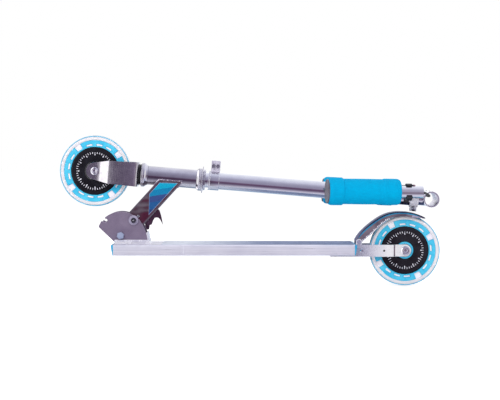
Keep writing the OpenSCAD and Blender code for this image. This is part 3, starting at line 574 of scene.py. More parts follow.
def foam_finish():
    """Closed-cell foam of the grips: a matte skin with fine cells."""
    f = Finish("grip_foam", Specular_IOR_Level=0.06)
    cell = f.cells(1500, (0.7, 1, 1))
    soft = f.noise(90, 5, 0.6)
    f.colour(f.ramp(f.blend(soft, 0.6, cell, 0.45), (0.3, (0, 150, 202)), (0.5, (0, 164, 216)),
                    (0.75, (0, 174, 224))))
    f.rough(soft, 0.72, 0.92)
    return f.bump(cell, 0.22, 0.0004).bump(soft, 0.18, 0.001).mat


def clear_finish():
    """Milky-clear cast tyre with faint flow marks."""
    f = Finish("clear_cast", IOR=1.42, Coat_Weight=0.4, Coat_Roughness=0.05,
               Transmission_Weight=0.3)
    flow = f.noise(60, 4, 0.6, warp=0.8)
    f.colour(f.ramp(flow, (0.35, (244, 242, 252)), (0.65, (255, 252, 255))))
    f.rough(f.noise(300, 3), 0.1, 0.22)
    return f.bump(flow, 0.08, 0.0006).mat


def rim_reflection_finish():
    """A painted reflection: the deeper blue of the core that shows where the clear tyre turns away
    at its rim.
    """
    f = Finish("tyre_skin_tint", Coat_Weight=0.4, Coat_Roughness=0.08)
    flow = f.noise(120, 3, 0.5)
    f.colour(f.ramp(flow, (0.35, (70, 180, 224)), (0.65, (112, 204, 236))))
    f.rough(flow, 0.18, 0.3)
    return f.bump(flow, 0.05, 0.0004).mat


def neck_finish():
    """Dark gloss lacquer with a printed panel of slanted bands in blues, and a painted highlight
    along the box's long edges.
    """
    f = Finish("neck_wrap", Metallic=0.25, Coat_Weight=0.35, Coat_Roughness=0.08)
    slant = (0, NECK_SLANT, 0)
    u, v = (f.axis(k, f.place(turn=slant, shift=(0.0843, 0, -0.2183))) for k in (0, 2))
    streak = f.noise(60, 3, 0.5, (0.25, 1, 1.6), slant)
    dark = f.ramp(f.blend(f.noise(26, 2, 0.4, turn=slant), 0.5, streak, 0.5),
                  (0.36, (62, 20, 42)), (0.48, (84, 30, 56)), (0.56, (82, 62, 76)),
                  (0.66, (112, 100, 112)))
    # Painted highlight: a pale grey band along the box's long edges.
    edge = f.span(f.math("ABSOLUTE", v), 0.0125, 0.0150)
    dark = f.mix(edge, dark, (100, 92, 106))

    def panel(grow):
        """1 inside the slant-ended panel, made larger all round by grow."""
        left = f.math("SUBTRACT", u, 0.0712 - grow)
        right = f.math("SUBTRACT", 0.1195 + grow, u)
        inside = f.times(f.math("LESS_THAN", v, f.times(left, 0.86)),
                         f.math("LESS_THAN", v, f.times(right, 1.17)))
        return f.times(inside, f.times(f.math("GREATER_THAN", v, -0.0108 - grow),
                                       f.math("LESS_THAN", v, 0.0112 + grow)))

    step = f.times(f.blend(u, 0.62, v, 0.78), 12.0)
    bands = f.ramp(step, (0.0, (52, 70, 128)), (0.42, (36, 96, 158)), (0.56, (58, 84, 146)),
                   (0.68, (8, 138, 190)), (0.80, (0, 176, 216)), (0.97, (0, 150, 204)),
                   interpolation="CONSTANT")
    rim = f.mix(panel(0.0007), dark, (150, 168, 200))
    f.colour(f.mix(panel(0.0), rim, bands))
    f.rough(streak, 0.16, 0.28)
    return f.bump(f.noise(900, 2), 0.04, 0.0002).mat


def mat_finish():
    """Gritty anti-slip sheet on the board, with a painted sheen that pales it towards the front."""
    f = Finish("grip_sheet", Specular_IOR_Level=0.3)
    grit = f.cells(1800)
    fine = f.ramp(f.times(grit, f.noise(30, 4, 0.6)), (0.1, (112, 124, 156)),
                  (0.5, (150, 160, 192)))
    # Painted sheen: the sheet turns pale towards the front.
    f.colour(f.mix(f.span(f.axis(0), 0.02, -0.11), fine, (216, 222, 236)))
    f.rough(grit, 0.7, 0.95, 0.0, 0.8)
    return f.bump(grit, 0.5, 0.0006).mat


def woven_finish():
    """Braided cover of the elastic cord."""
    f = Finish("cord_cover", Sheen_Weight=0.3)
    braid = f.cells(1100, (1, 0.5, 1), (0.6, 0.4, 0.8), 0.3)
    f.colour(f.ramp(braid, (0.1, (18, 18, 22)), (0.6, (58, 58, 64))))
    f.rough(braid, 0.6, 0.85, 0.0, 0.8)
    return f.bump(braid, 0.5, 0.0004).mat


DRAWN = (0.02, 1, 1)
UPRIGHT = (0, -LEAN, 0)
CHROME = polished("bright_chrome", (246, 246, 248), (232, 232, 238), grain=DRAWN, turn=UPRIGHT)
HEAD_CHROME = polished("head_chrome", (226, 224, 230), (206, 202, 210), grain=DRAWN,
                       turn=UPRIGHT)
BAR_CHROME = polished("handlebar_chrome", (250, 250, 252), (238, 238, 244), grain=(1, 0.02, 1))
DARK_CHROME = polished("lever_chrome", (190, 160, 172), (150, 104, 122), (0.06, 0.16))
NECK_BEAD = polished("neck_bead", (214, 206, 216), (168, 152, 168), (0.12, 0.3))
SPRING = polished("spring_wire", (128, 126, 134), (84, 82, 90), (0.2, 0.34))
# Dark steel of the lock screw; also the painted shade inside the bar's button holes.
DARK_STEEL_AND_HOLE_SHADE = polished("dark_steel", (96, 92, 104), (64, 60, 72), (0.16, 0.3))
AXLE_STEEL = polished("axle_steel", (255, 254, 255), (222, 218, 230), (0.16, 0.3))
BUTTON = polished("button_plating", (206, 184, 190), (160, 130, 138), (0.12, 0.24))
PALE_BAR = polished("pale_bar_bore", (255, 252, 255), (240, 236, 248), (0.3, 0.42))
LUG_STEEL = moulded("lug_steel", (206, 201, 219), (172, 166, 188), (0.24, 0.38), 700, 0.1, 0.4)
PALE_STEEL = moulded("pale_steel", (250, 248, 255), (228, 224, 240), (0.24, 0.38), 900, 0.1, 0.5)
# Painted reflection: teal for the blue grips and wheel seen in the fender's bead.
PAINTED_BLUE_REFLECTION = moulded("fender_bead", (44, 150, 194), (18, 116, 164), (0.12, 0.24), 500, 0.1)
# Dark steel of the fender's webs; also the painted shade on the sloped faces of the arms' steps.
WEB_STEEL_AND_STEP_SHADE = moulded("fender_web", (128, 112, 126), (94, 80, 96), (0.32, 0.46), 900, 0.1)
BLUED = moulded("blue_grey_plating", (158, 168, 198), (132, 142, 176), (0.3, 0.45))
PALE_ZINC = moulded("pale_plating", (172, 164, 190), (140, 132, 160), (0.3, 0.42))
WELD = moulded("weld_bead", (236, 234, 244), (178, 174, 196), (0.3, 0.5), 700, 0.3)
BLUE_CORE = moulded("blue_core", (84, 204, 240), (48, 186, 230))
BLUE_CAP = moulded("blue_cap", (44, 178, 224), (10, 150, 204), (0.22, 0.36))
BLACK_GLOSS = moulded("black_gloss", (30, 30, 36), (14, 14, 18), (0.08, 0.18), 900, 0.03)
BLACK_MATTE = moulded("black_matte", (40, 39, 44), (22, 22, 26), (0.4, 0.6), 1800, 0.12)
GREY_CAP = moulded("grey_cap", (106, 104, 116), (78, 76, 88), (0.4, 0.55), 1500, 0.1)
MILKY = moulded("milky_white", (255, 252, 255), (246, 240, 252), (0.3, 0.4))
TICK_WHITE = moulded("tick_print", (244, 243, 252), (222, 220, 236), (0.35, 0.5))
ZINC, DECK, PLATE, ARM = zinc_finish(), deck_finish(), plate_finish(), arm_lacquer()
BRACKET, BRUSHED, FENDER_CHROME = bracket_finish(), fork_finish(), fender_finish()
FOAM, GRIT, BRAID, NECK_WRAP = foam_finish(), mat_finish(), woven_finish(), neck_finish()
CLEAR, RIM_REFLECTION = clear_finish(), rim_reflection_finish()

# ---- Camera, floor and lights ---------------------------------------------

CAMERA_RANGE = 2.5
CAMERA_RISE = radians(2.0)
CAMERA_LENS, SENSOR_WIDTH = 106.2, 36
LOOK_AT = Vector((0, 0, 0.1446))
LAMPS_AT = Vector((0, 0, 0.12))
# Name, place, width, height and power of each lamp.
LAMPS = (("key", (-0.7, -1.4, 1.5), 1.4, 0.9, 17), ("fill", (1.1, -1.5, 0.9), 1.0, 1.0, 7),
         ("back", (0.2, 1.5, 1.2), 1.6, 0.8, 9))
METAL_SEES, MATTE_SEES = 0.95, 0.62
FLOOR_DROP, FLOOR_GLOW, FLOOR_SIZE = 0.0015, 0.46, 12
SURROUND_R, SURROUND_LEN, SURROUND_GLOW = 2.3, 9, 1.12
# Colour of the surround by the angle around the X axis: 0 is in front, 90 overhead.
SURROUND = (
    (-180, (200, 210, 225)), (-133, (150, 174, 200)), (-97, (140, 168, 198)),
    (-82, (188, 196, 214)), (-70, (210, 210, 225)), (-50, (176, 170, 190)),
    (-36, (126, 116, 140)), (-22, (92, 74, 100)), (-7, (96, 72, 100)), (-2, (122, 110, 136)),
    (6, (141, 135, 159)), (30, (148, 145, 168)), (50, (166, 165, 187)), (71, (195, 196, 216)),
    (97, (212, 214, 229)), (133, (234, 236, 246)), (180, (246, 247, 251)))


def make_camera():
    data = bpy.data.cameras.new("camera")
    data.lens = CAMERA_LENS
    data.sensor_width = SENSOR_WIDTH
    data.clip_end = 50
    camera = add_object("camera", data)
    camera.location = LOOK_AT + CAMERA_RANGE * Vector((0, -cos(CAMERA_RISE), sin(CAMERA_RISE)))
    camera.rotation_euler = (pi / 2 - CAMERA_RISE, 0, 0)
    bpy.context.scene.camera = camera


def make_lamp(name, place, width, height, power):
    data = bpy.data.lights.new(name, "AREA")
    data.shape = "RECTANGLE"
    data.size, data.size_y = width, height
    data.energy = power
    lamp = add_object(name, data)
    lamp.location = place
    lamp.rotation_euler = (LAMPS_AT - Vector(place)).to_track_quat("-Z", "Y").to_euler()
    lamp.visible_glossy = False


def make_world():
    """White to the eye and to glass, a bright even studio to metal, softer on matte surfaces."""
    world = bpy.data.worlds.new("studio")
    bpy.context.scene.world = world
    world.use_nodes = True
    w = Wiring(world.node_tree)
    ray = w.add("ShaderNodeLightPath").outputs
    seen = w.math("MAXIMUM", ray["Is Camera Ray"], ray["Is Transmission Ray"])
    bright = w.math("MAXIMUM", seen, w.times(ray["Is Glossy Ray"], METAL_SEES))
    w.feed(w.nodes["Background"], [("Color", (1, 1, 1, 1)),
                                   ("Strength", w.math("MAXIMUM", bright, MATTE_SEES))])


def stage_object(name, bm, material):
    mesh = to_mesh(name, bm)
    mesh.materials.append(material)
    return add_object(name, mesh)


def make_floor():
    bm = bmesh.new()
    bmesh.ops.create_grid(bm, x_segments=2, y_segments=2, size=FLOOR_SIZE)
    f = Finish("pale_floor", Base_Color=(0.93, 0.93, 0.94, 1), Roughness=0.9,
               Specular_IOR_Level=0.0, Emission_Color=(1, 1, 1, 1))
    ray = f.add("ShaderNodeLightPath").outputs
    seen = f.math("MAXIMUM", ray["Is Camera Ray"], ray["Is Glossy Ray"])
    f.feed(f.shader, [("Emission Strength", f.times(seen, FLOOR_GLOW))])
    floor = stage_object("floor", bm, f.mat)
    floor.location.z = -FLOOR_DROP
    floor.visible_glossy = False


def make_surround():
    """A wide band around the set that only the metal sees: grey in front, pale over and under.

    Its colour follows the angle around the X axis. Towards the left it first darkens, then
    turns white, and a little towards the right.
    """
    bm = bmesh.new()
    bmesh.ops.create_cone(bm, cap_ends=False, segments=96, radius1=SURROUND_R,
                          radius2=SURROUND_R, depth=SURROUND_LEN)
    bmesh.ops.transform(bm, matrix=turn_y(pi / 2), verts=bm.verts)
    f = Finish("surround_card")
    x, y, z = (f.axis(k) for k in range(3))
    angle = f.math("ARCTAN2", z, f.times(y, -1.0))
    band = f.ramp(f.span(angle, -pi, pi), *(((at + 180) / 360, c) for at, c in SURROUND))
    white = f.math("MAXIMUM", f.span(x, -0.85, -1.25), f.span(x, 0.33, 0.52, 0.0, 0.08))
    darker = f.add("ShaderNodeVectorMath", (0, band), ("Scale", f.span(x, -0.10, -0.36, 1.0, 0.6)),
                   operation="SCALE")
    glow = f.add("ShaderNodeEmission", ("Strength", SURROUND_GLOW),
                 ("Color", f.mix(white, darker.outputs[0], (1.35, 1.35, 1.38, 1))))
    f.feed(f.nodes["Material Output"], [("Surface", glow)])
    card = stage_object("surround", bm, f.mat)
    card.location = (0, 0, 0.15)
    for ray in ("camera", "diffuse", "transmission", "shadow"):
        setattr(card, "visible_" + ray, False)


bpy.context.scene.view_settings.view_transform = "Standard"
make_camera()
make_world()
make_floor()
for lamp in LAMPS:
    make_lamp(*lamp)
make_surround()

# ---- Fold bracket ---------------------------------------------------------

BASE_TOP, FOOT_SLOPE = -0.0101, 0.0023
NOTCH = (-0.0249, 0.0255)


def plate_outline():
    """Side plate seen from the pivot: round back, slanted front corner and open notch."""
    front = round_corners([
        (-0.0112, BASE_TOP, 0.0), (-0.0374, 0.0150, 0.0025), (-0.0321, 0.0248, 0.0012),
        (-0.0276, 0.0222, 0.0006)], 0.001)
    pocket = arc_points(NOTCH, 0.0030, 235, 470, 14)
    lip = [(-0.0262, 0.0303)]
    back = arc_points((0, 0), 0.0402, 129.5, 44, 30)
    edge = [(0.0314, 0.0268), (0.0387, 0.0152), (0.0429, 0.0048), (0.0458, BASE_TOP)]
    return front + pocket + lip + back + edge


def make_bracket_plates():
    bm = bmesh.new()
    for low, high in mirrored(PLATE_IN, PLATE_OUT):
        prism(bm, plate_outline(), low, high, AT_PIVOT)
    piece("bracket_side_plates", bm, BRACKET, "deck", "bracket_metal", "bracket_plates",
          edge=(0.0005, 3, 40))


def make_bracket_base():
    """Foot of the bracket with a sloped rear end, and an uneven weld along each plate."""
    obj = clean_copy("bracket_foot", "bracket_base", PLATE)
    rear_end = max(v.co.x for v in obj.data.vertices)
    for v in obj.data.vertices:
        if v.co.x > rear_end - 0.0001 and v.co.z > PIVOT[2] + BASE_TOP - 0.0002:
            v.co.x -= FOOT_SLOPE
    bevel(obj, 0.0007, 3, 40)
    ride(obj, "deck", "base_metal", "bracket_base")
    bm = bmesh.new()
    for side in (-1, 1):
        line = []
        for k in range(49):
            t = k / 48
            wobble = 0.0005 * sin(k * 1.9) + 0.0003 * sin(k * 4.3 + side)
            line.append((-0.0088 + 0.0575 * t, side * (PLATE_OUT + 0.0011 + 0.3 * wobble),
                         BASE_TOP + 0.0006 + 0.5 * wobble))
        swept_tube(bm, line, lambda t: min(1, 0.15 + 12 * min(t, 1 - t))
                   * (0.0018 + 0.0003 * sin(t * 74) + 0.0002 * sin(t * 190)), 10, AT_PIVOT)
    piece("bracket_weld", bm, WELD, "deck", "base_metal")


def make_pivot_bolt():
    near, far = along_y(PIVOT.x, PIVOT.z), along_y(PIVOT.x, PIVOT.z, 1)
    bm = bmesh.new()
    hex_head(bm, near @ turn_x(0.3), PLATE_OUT, PLATE_OUT + 0.0043, 0.0064)
    lathe(bm, [(-PLATE_OUT - 0.0060, 0), (-PLATE_OUT - 0.0060, 0.0034), (-PLATE_OUT, 0.00395),
               (PLATE_OUT, 0.00395), (PLATE_OUT, 0)], near, around=40)
    lathe(bm, [(PLATE_OUT + 0.0043, 0), (PLATE_OUT + 0.0046, 0.0030, 0.0004),
               (PLATE_OUT + 0.0043, 0.0036)], near, 0.0003, around=40)
    piece("pivot_hex_bolt", bm, BLUED, "deck", "zinc", "pivot_bolt")
    bm = bmesh.new()
    hex_head(bm, far, PLATE_OUT, PLATE_OUT + 0.0050, 0.0068, 0.0041)
    piece("pivot_hex_nut", bm, ZINC, "deck", "zinc", "pivot_nut")


# ---- Fold lock ------------------------------------------------------------

WASHER_IN, WASHER_OUT = PLATE_OUT + 0.0003, PLATE_OUT + 0.0018
LOCK_CAM = 0.0273


def make_lock_washers():
    turned_pair("lock_dished_washers", PALE_ZINC, ("neck", "zinc", "lock_washers"), [
        (WASHER_IN, 0.0031), (WASHER_IN, 0.0082), (WASHER_OUT - 0.0003, 0.0082, 0.0005),
        (WASHER_OUT, 0.0074, 0.0004), (WASHER_OUT - 0.0004, 0.0064, 0.0005),
        (WASHER_OUT, 0.0054, 0.0004), (WASHER_OUT, 0.0031)],
        LOCK.translation.x, LOCK.translation.z, 0.0002, around=64, closed=True)


def make_lock_bolt():
    """Lock bolt: near head with a bright pin in a dark socket, and the lever's eye behind."""
    near = LOCK @ turn_z(-pi / 2)
    head = WASHER_OUT
    turned("lock_cap_screw", DARK_STEEL_AND_HOLE_SHADE, ("neck", "zinc", "lock_bolt"), [
        (-WASHER_OUT, 0), (-WASHER_OUT, 0.0029), (head, 0.0029), (head, 0.0045, 0.0002),
        (head + 0.0030, 0.0044, 0.0008), (head + 0.0039, 0.0030, 0.0003),
        (head + 0.0034, 0.0022, 0.0002), (head + 0.0014, 0.0021), (head + 0.0014, 0)],
        near, 0.0002, around=48)
    bm = bmesh.new()
    lathe(bm, [(head + 0.0014, 0.0013), (head + 0.0034, 0.0013, 0.0004),
               (head + 0.0038, 0.0006, 0.0004), (head + 0.0039, 0)], near, 0.0003, around=32)
    lathe(bm, [(WASHER_OUT, 0), (WASHER_OUT, 0.0026), (LOCK_CAM, 0.0026), (LOCK_CAM, 0)],
          LOCK @ turn_z(pi / 2), around=40)
    eye = LOCK @ move(0, LOCK_CAM, 0) @ turn_y(-pi / 2)
    for half, radius, around in ((0.0026, 0.0044, 40), (0.0064, 0.0019, 24)):
        lathe(bm, mirror([(-half, 0), (-half, radius, 0.0003)]), eye, 0.0002, around=around)
    piece("lock_eye", bm, ZINC, "neck", "zinc")


def make_fold_lever():
    """Pressed lever with a long thumb spike, turned-up cheeks and a small hole."""
    place = LOCK @ move(0, LOCK_CAM, 0)
    toe = arc_points((0.0202, -0.0156), 0.0030, 215, 345, 10)
    blade = round_corners([
        (0.0065, -0.0064, 0.0005), (0.0065, 0.0064, 0.0005), (0.0160, 0.0110, 0.004),
        (0.0345, 0.0182, 0.004), (0.0405, 0.0160, 0.003), (0.0440, 0.0040, 0.004),
        (0.0468, -0.0112, 0.0005), (0.0424, -0.0020, 0.005), (0.0390, 0.0022, 0.003),
        (0.0330, 0.0024, 0.004), (0.0300, -0.0020, 0.004), (0.0270, -0.0110, 0.003)], 0.001)
    bm = bmesh.new()
    prism(bm, blade + list(reversed(toe)) + [(0.0150, -0.0064)], 0.0011, 0.0039, place)
    piece("fold_lever_blade", bm, DARK_CHROME, "fold_lever", "lever_metal", "fold_lever",
          edge=(0.0007, 3, 40))
    bm = bmesh.new()
    side = place @ turn_x(pi / 2)
    for low, high in mirrored(0.0029, 0.0064):
        prism(bm, circle(0.0050, 40), low, high, side, circle(0.0021, 24))
        prism(bm, [(0.0035, 0), (0.0080, 0), (0.0080, 0.0040), (0.0030, 0.0040)], low, high,
              side)
    piece("fold_lever_cheeks", bm, DARK_CHROME, "fold_lever", "lever_metal", edge=(0.0003, 2, 50))


make_bracket_plates()
make_bracket_base()
make_pivot_bolt()
make_lock_washers()
make_lock_bolt()
make_fold_lever()

# ---- Fork -----------------------------------------------------------------

CROWN = 0.073


def fork_half_width(x):
    """Half the strip's width at a distance from the axle."""
    if x < 0:
        return sqrt(max(0.0144 ** 2 - x * x, 1e-8))
    for (a, low), (b, high) in (((0, 0.0144), (0.0095, 0.0164)),
                                ((0.0095, 0.0164), (0.023, 0.0192)),
                                ((0.023, 0.0192), (0.0731, 0.0205))):
        if x <= b:
            return low + (high - low) * (x - a) / (b - a)
    return 0.0205


def make_fork():
    """Bent steel strip: round ends at the axle, a joggle in each leg and a folded crown."""
    half = [(-0.0144 * cos(radians(a)), 0.0165, -0.0144 * cos(radians(a)), 0.0135)
            for a in range(4, 91, 6)]
    half += [(0.0085, 0.0165, 0.0090, 0.0135), (0.0098, 0.0168, 0.0103, 0.0139),
             (0.0222, 0.0217, 0.0219, 0.0187), (0.0238, 0.0220, 0.0232, 0.0190),
             (0.0450, 0.0220, 0.0450, 0.0190), (0.0660, 0.0220, 0.0650, 0.0190)]
    half += [(0.0660 + 0.0070 * sin(radians(a)), 0.0150 + 0.0070 * cos(radians(a)),
              0.0650 + 0.0040 * sin(radians(a)), 0.0150 + 0.0040 * cos(radians(a)))
             for a in range(10, 91, 10)]
    half.append((CROWN, 0.0080, 0.0690, 0.0080))
    path = [(ox, -oy, ix, -iy) for ox, oy, ix, iy in half]
    path += [(ox, oy, ix, iy) for ox, oy, ix, iy in reversed(half)]
    bm = bmesh.new()
    rings = []
    for ox, oy, ix, iy in path:
        w = fork_half_width(ox)
        rings.append(((ox, oy, w), (ox, oy, 0), (ox, oy, -w), (ix, iy, -w), (ix, iy, 0),
                      (ix, iy, w)))
    loft(bm, rings, COLUMN)
    piece("fork_strip", bm, BRUSHED, "column", "fork_metal", "fork", smooth=28,
          edge=(0.0005, 3, 50))
    turned("crown_weld", WELD, ("column", "fork_metal"), [
        (CROWN + 0.0001, 0.0117), (CROWN + 0.0001, 0.0150), (CROWN + 0.0012, 0.0156, 0.0004),
        (CROWN + 0.0018, 0.0150), (CROWN + 0.0018, 0.0117)], COLUMN, 0.0002, closed=True)


# ---- Headset --------------------------------------------------------------

HEAD_AT, HEAD_END, HEAD_R, RING_TEETH = 0.089, 0.172, 0.01575, 40


def make_headset():
    turned("fork_seal", BLACK_GLOSS, ("column", "black_plastic", "lower_seal"), [
        (0.0732, 0.0118), (0.0732, 0.0176), (0.0742, 0.0184, 0.0004), (0.0752, 0.0176, 0.0004),
        (0.0757, 0.0166, 0.0003), (0.0764, 0.0178, 0.0004), (0.0774, 0.0183, 0.0004),
        (0.0777, 0.0176), (0.0777, 0.0118)], COLUMN, 0.0002, closed=True)
    turned("bottom_cup", HEAD_CHROME, ("neck", "chrome", "lower_cup"), [
        (0.0780, 0.0171), (0.0780, 0.0190), (0.0784, 0.0199, 0.0006), (0.0800, 0.0200, 0.0005),
        (0.0804, 0.0193, 0.0003), (0.0809, 0.0200, 0.0004), (0.0834, 0.0200, 0.0012),
        (0.0862, 0.0176, 0.0020), (0.0884, 0.0165, 0.0008), (0.0890, 0.0164), (0.0890, 0.0159),
        (0.0852, 0.0159), (0.0852, 0.0171)], COLUMN, 0.0002, around=128, closed=True)
    turned("top_cup", HEAD_CHROME, ("neck", "chrome", "upper_cup"), [
        (0.1720, 0.0159), (0.1720, 0.0165, 0.0003), (0.1730, 0.0172, 0.0008),
        (0.1752, 0.0189, 0.0014), (0.1772, 0.0190, 0.0006), (0.1776, 0.0184, 0.0003),
        (0.1780, 0.0190, 0.0004), (0.1802, 0.0190, 0.0005), (0.1805, 0.0184),
        (0.1805, 0.0160)], COLUMN, 0.0002, around=128, closed=True)
    turned("head_pipe", HEAD_CHROME, ("neck", "chrome", "head_tube"), [
        (HEAD_AT, 0.0143), (HEAD_AT, HEAD_R - 0.0003), (HEAD_AT + 0.0004, HEAD_R),
        (HEAD_END - 0.0004, HEAD_R), (HEAD_END, HEAD_R - 0.0003), (HEAD_END, 0.0143)],
        COLUMN, around=160, closed=True)


def make_headset_top():
    """Lock ring with a knurled edge, and the faceted nut on it."""
    bm = bmesh.new()
    lathe(bm, [
        (0.1811, 0.0125), (0.1811, 0.0212), (0.1816, 0.0219, 0.0002), (0.1822, 0.0219, 0.0002),
        (0.1830, 0.0190, 0.0005), (0.1834, 0.0180), (0.1834, 0.0125)],
        COLUMN, 0.0002, around=128, closed=True)
    for k in range(RING_TEETH):
        put = COLUMN @ turn_x(tau * k / RING_TEETH) @ move(0.18185, 0, 0.0216)
        made = bmesh.ops.create_cube(bm, size=1)
        bmesh.ops.scale(bm, verts=made["verts"], vec=(0.0010, 0.0016, 0.0013))
        bmesh.ops.transform(bm, verts=made["verts"], matrix=put)
    piece("lock_ring", bm, HEAD_CHROME, "column", "chrome", "headset_ring")
    bm = bmesh.new()
    lathe(bm, [(0.1835, 0.0125), (0.1835, 0.0174), (0.1860, 0.0174), (0.1866, 0.0166),
               (0.1866, 0.0125)], COLUMN, around=12, closed=True)
    piece("faceted_nut", bm, HEAD_CHROME, "column", "chrome", "headset_nut", smooth=20,
          edge=(0.0003, 2, 20))


# ---- Neck -----------------------------------------------------------------


def make_neck():
    """Welded box of the neck, with rounded long edges and a bead, and a black disc of painted shade
    in a pale ring at the open end of its slot.
    """
    ride(clean_copy("neck_tube", "neck_box", NECK_WRAP, 0.0012, 3, 60), "neck", "neck_metal",
         "neck_box")
    ring = [(-0.0150, v / 1000) for v in range(-15, 16, 2)]
    ring += [(y / 1000, 0.0158) for y in range(-14, 15, 2)]
    ring += [(0.0150, v / 1000) for v in range(15, -16, -2)]
    ring += [(y / 1000, -0.0158) for y in range(14, -15, -2)]
    ring.append(ring[0])
    along, across = NECK.to_3x3() @ Vector((1, 0, 0)), NECK.to_3x3() @ Vector((0, 0, 1))
    up = COLUMN.to_3x3() @ Vector((0, 0, 1))
    line = []
    for k, (y, v) in enumerate(ring):
        drop = -sqrt(HEAD_R ** 2 - min(abs(y), 0.0153) ** 2)
        start = (PIVOT - FRONT_AXLE).dot(up)
        u = (drop - start - v * across.dot(up)) / along.dot(up)
        line.append(PIVOT + along * (u - 0.0004) + across * v
                    + Vector((0, y * (1.02 + 0.006 * sin(k * 2.3)), 0)))
    bm = bmesh.new()
    swept_tube(bm, smooth_line(line, 3),
               lambda t: 0.00125 + 0.0002 * sin(t * 260) + 0.0002 * sin(t * 97), 10)
    piece("neck_weld", bm, NECK_BEAD, "neck", "neck_metal")
    # Painted shade: a black disc in a pale zinc ring marks the open end of the neck's slot.
    plug = NECK @ move(0.0441, 0, 0) @ turn_z(-pi / 2)
    turned("neck_slot_rim", ZINC, ("neck", "neck_metal"), [
        (0.0149, 0.0009), (0.0149, 0.0022), (0.0153, 0.0021, 0.0002), (0.0155, 0.0014, 0.0002),
        (0.0152, 0.0009)], plug, 0.0001, around=32, closed=True)
    turned("neck_slot_shade", BLACK_MATTE, ("neck", "neck_metal"), [
        (0.0149, 0), (0.0149, 0.0009), (0.0151, 0.0009), (0.01505, 0)], plug, around=24)


make_fork()
make_headset()
make_headset_top()
make_neck()

# ---- Column fittings ------------------------------------------------------

FITTING_IN = 0.01405
COLLAR_AT, COLLAR_LEN, COLLAR_BOLT_Z = 0.1915, 0.0185, 0.0250
CLAMP_AT, CLAMP_LEN, CLAMP_BOLT_Z, CLAMP_CAM = 0.534, 0.014, -0.0186, 0.0117


def make_collar():
    """Two-bolt collar: a grooved ring, a split block on top and its two bolts."""
    end = COLLAR_AT + COLLAR_LEN
    bm = bmesh.new()
    lathe(bm, [
        (COLLAR_AT, FITTING_IN), (COLLAR_AT, 0.0158), (COLLAR_AT + 0.0005, 0.0162, 0.0003),
        (COLLAR_AT + 0.0022, 0.0162, 0.0003), (COLLAR_AT + 0.0026, 0.0158, 0.0002),
        (COLLAR_AT + 0.0030, 0.0162, 0.0003), (end - 0.0005, 0.0162, 0.0003), (end, 0.0158),
        (end, FITTING_IN)], COLUMN, around=128, closed=True)
    for low, high in mirrored(0.0010, 0.0080):
        box(bm, (COLLAR_AT + 0.0035, low, 0.0141), (end, high, 0.0340), COLUMN)
    back = COLUMN.inverted()
    piece("two_bolt_collar", bm, CHROME, "column", "chrome", "stem_collar", edge=(0.0008, 3, 60),
          second=(LUG_STEEL, lambda face: (back @ face.center).z > 0.0164))
    middle = (COLLAR_AT + 0.0035 + end) / 2
    bm = bmesh.new()
    for x in (middle - 0.0038, middle + 0.0038):
        bolt = COLUMN @ move(x, 0, COLLAR_BOLT_Z)
        lathe(bm, [(-0.0080, 0), (-0.0080, 0.0024), (0.0080, 0.0024), (0.0080, 0.0034, 0.0002),
                   (0.0112, 0.0035, 0.0004), (0.0115, 0.0031, 0.0002), (0.0115, 0.0020),
                   (0.0098, 0.0018), (0.0098, 0)], bolt @ turn_z(-pi / 2), 0.0001, around=40)
        hex_head(bm, bolt @ turn_z(pi / 2), 0.0080, 0.0110, 0.0037)
    piece("collar_screws", bm, ZINC, "column", "zinc", "collar_bolts")


def make_height_clamp():
    """Split clamp at the top of the column, with black blocks of painted shade in the square
    windows of its lug, and its screw.
    """
    end, middle = CLAMP_AT + CLAMP_LEN, CLAMP_AT + CLAMP_LEN / 2
    bm = bmesh.new()
    lathe(bm, [
        (CLAMP_AT, FITTING_IN), (CLAMP_AT, 0.0161), (CLAMP_AT + 0.0005, 0.0165, 0.0003),
        (end - 0.0005, 0.0165, 0.0003), (end, 0.0161), (end, FITTING_IN)],
        COLUMN, around=128, closed=True)
    for low, high in mirrored(0.0010, 0.0070):
        box(bm, (middle - 0.0055, low, -0.0232), (middle + 0.0055, high, -0.0141), COLUMN)
    piece("height_clamp_ring", bm, PALE_STEEL, "column", "chrome", "height_clamp",
          edge=(0.0007, 3, 60))
    # Painted shade: black blocks fill the lug's two square windows.
    bm = bmesh.new()
    for x, z in ((middle - 0.0006, -0.0160), (middle + 0.0004, -0.0214)):
        box(bm, (x - 0.0027, -0.00715, z - 0.0018), (x + 0.0027, -0.0069, z + 0.0018), COLUMN)
    piece("clamp_window_shade", bm, BLACK_MATTE, "column", "chrome")
    bm = bmesh.new()
    bolt = COLUMN @ move(middle, 0, CLAMP_BOLT_Z)
    near = bolt @ turn_z(-pi / 2)
    hex_head(bm, near, 0.0070, 0.0092, 0.0036)
    lathe(bm, [(0.0092, 0.0030), (0.0098, 0.0029, 0.0004), (0.0109, 0.0020, 0.0008),
               (0.0113, 0.0008, 0.0006), (0.0113, 0)], near, 0.0003, around=32)
    lathe(bm, mirror([(-0.0070, 0), (-0.0070, 0.0024)]), near, around=32)
    lathe(bm, [(0.0070, 0), (0.0070, 0.0016), (CLAMP_CAM, 0.0016), (CLAMP_CAM, 0)],
          bolt @ turn_z(pi / 2), around=24)
    for half, radius in ((0.0016, 0.0027), (0.0042, 0.0013)):
        lathe(bm, mirror([(-half, 0), (-half, radius)]), bolt @ move(0, CLAMP_CAM, 0), 0.0002,
              around=24)
    piece("clamp_screw", bm, ZINC, "column", "zinc", "clamp_bolt")


make_collar()
make_height_clamp()
ride(clean_copy("clamp_thumb_lever", "clamp_lever", DARK_CHROME, 0.0004, 2, 40), "clamp_lever",
     "lever_metal", "clamp_lever")
ride(clean_copy("grip_jaws", "grip_clip", BLACK_MATTE, 0.0004, 2, 40), "column",
     "black_plastic", "grip_clip")

# ---- Handlebar and grips --------------------------------------------------

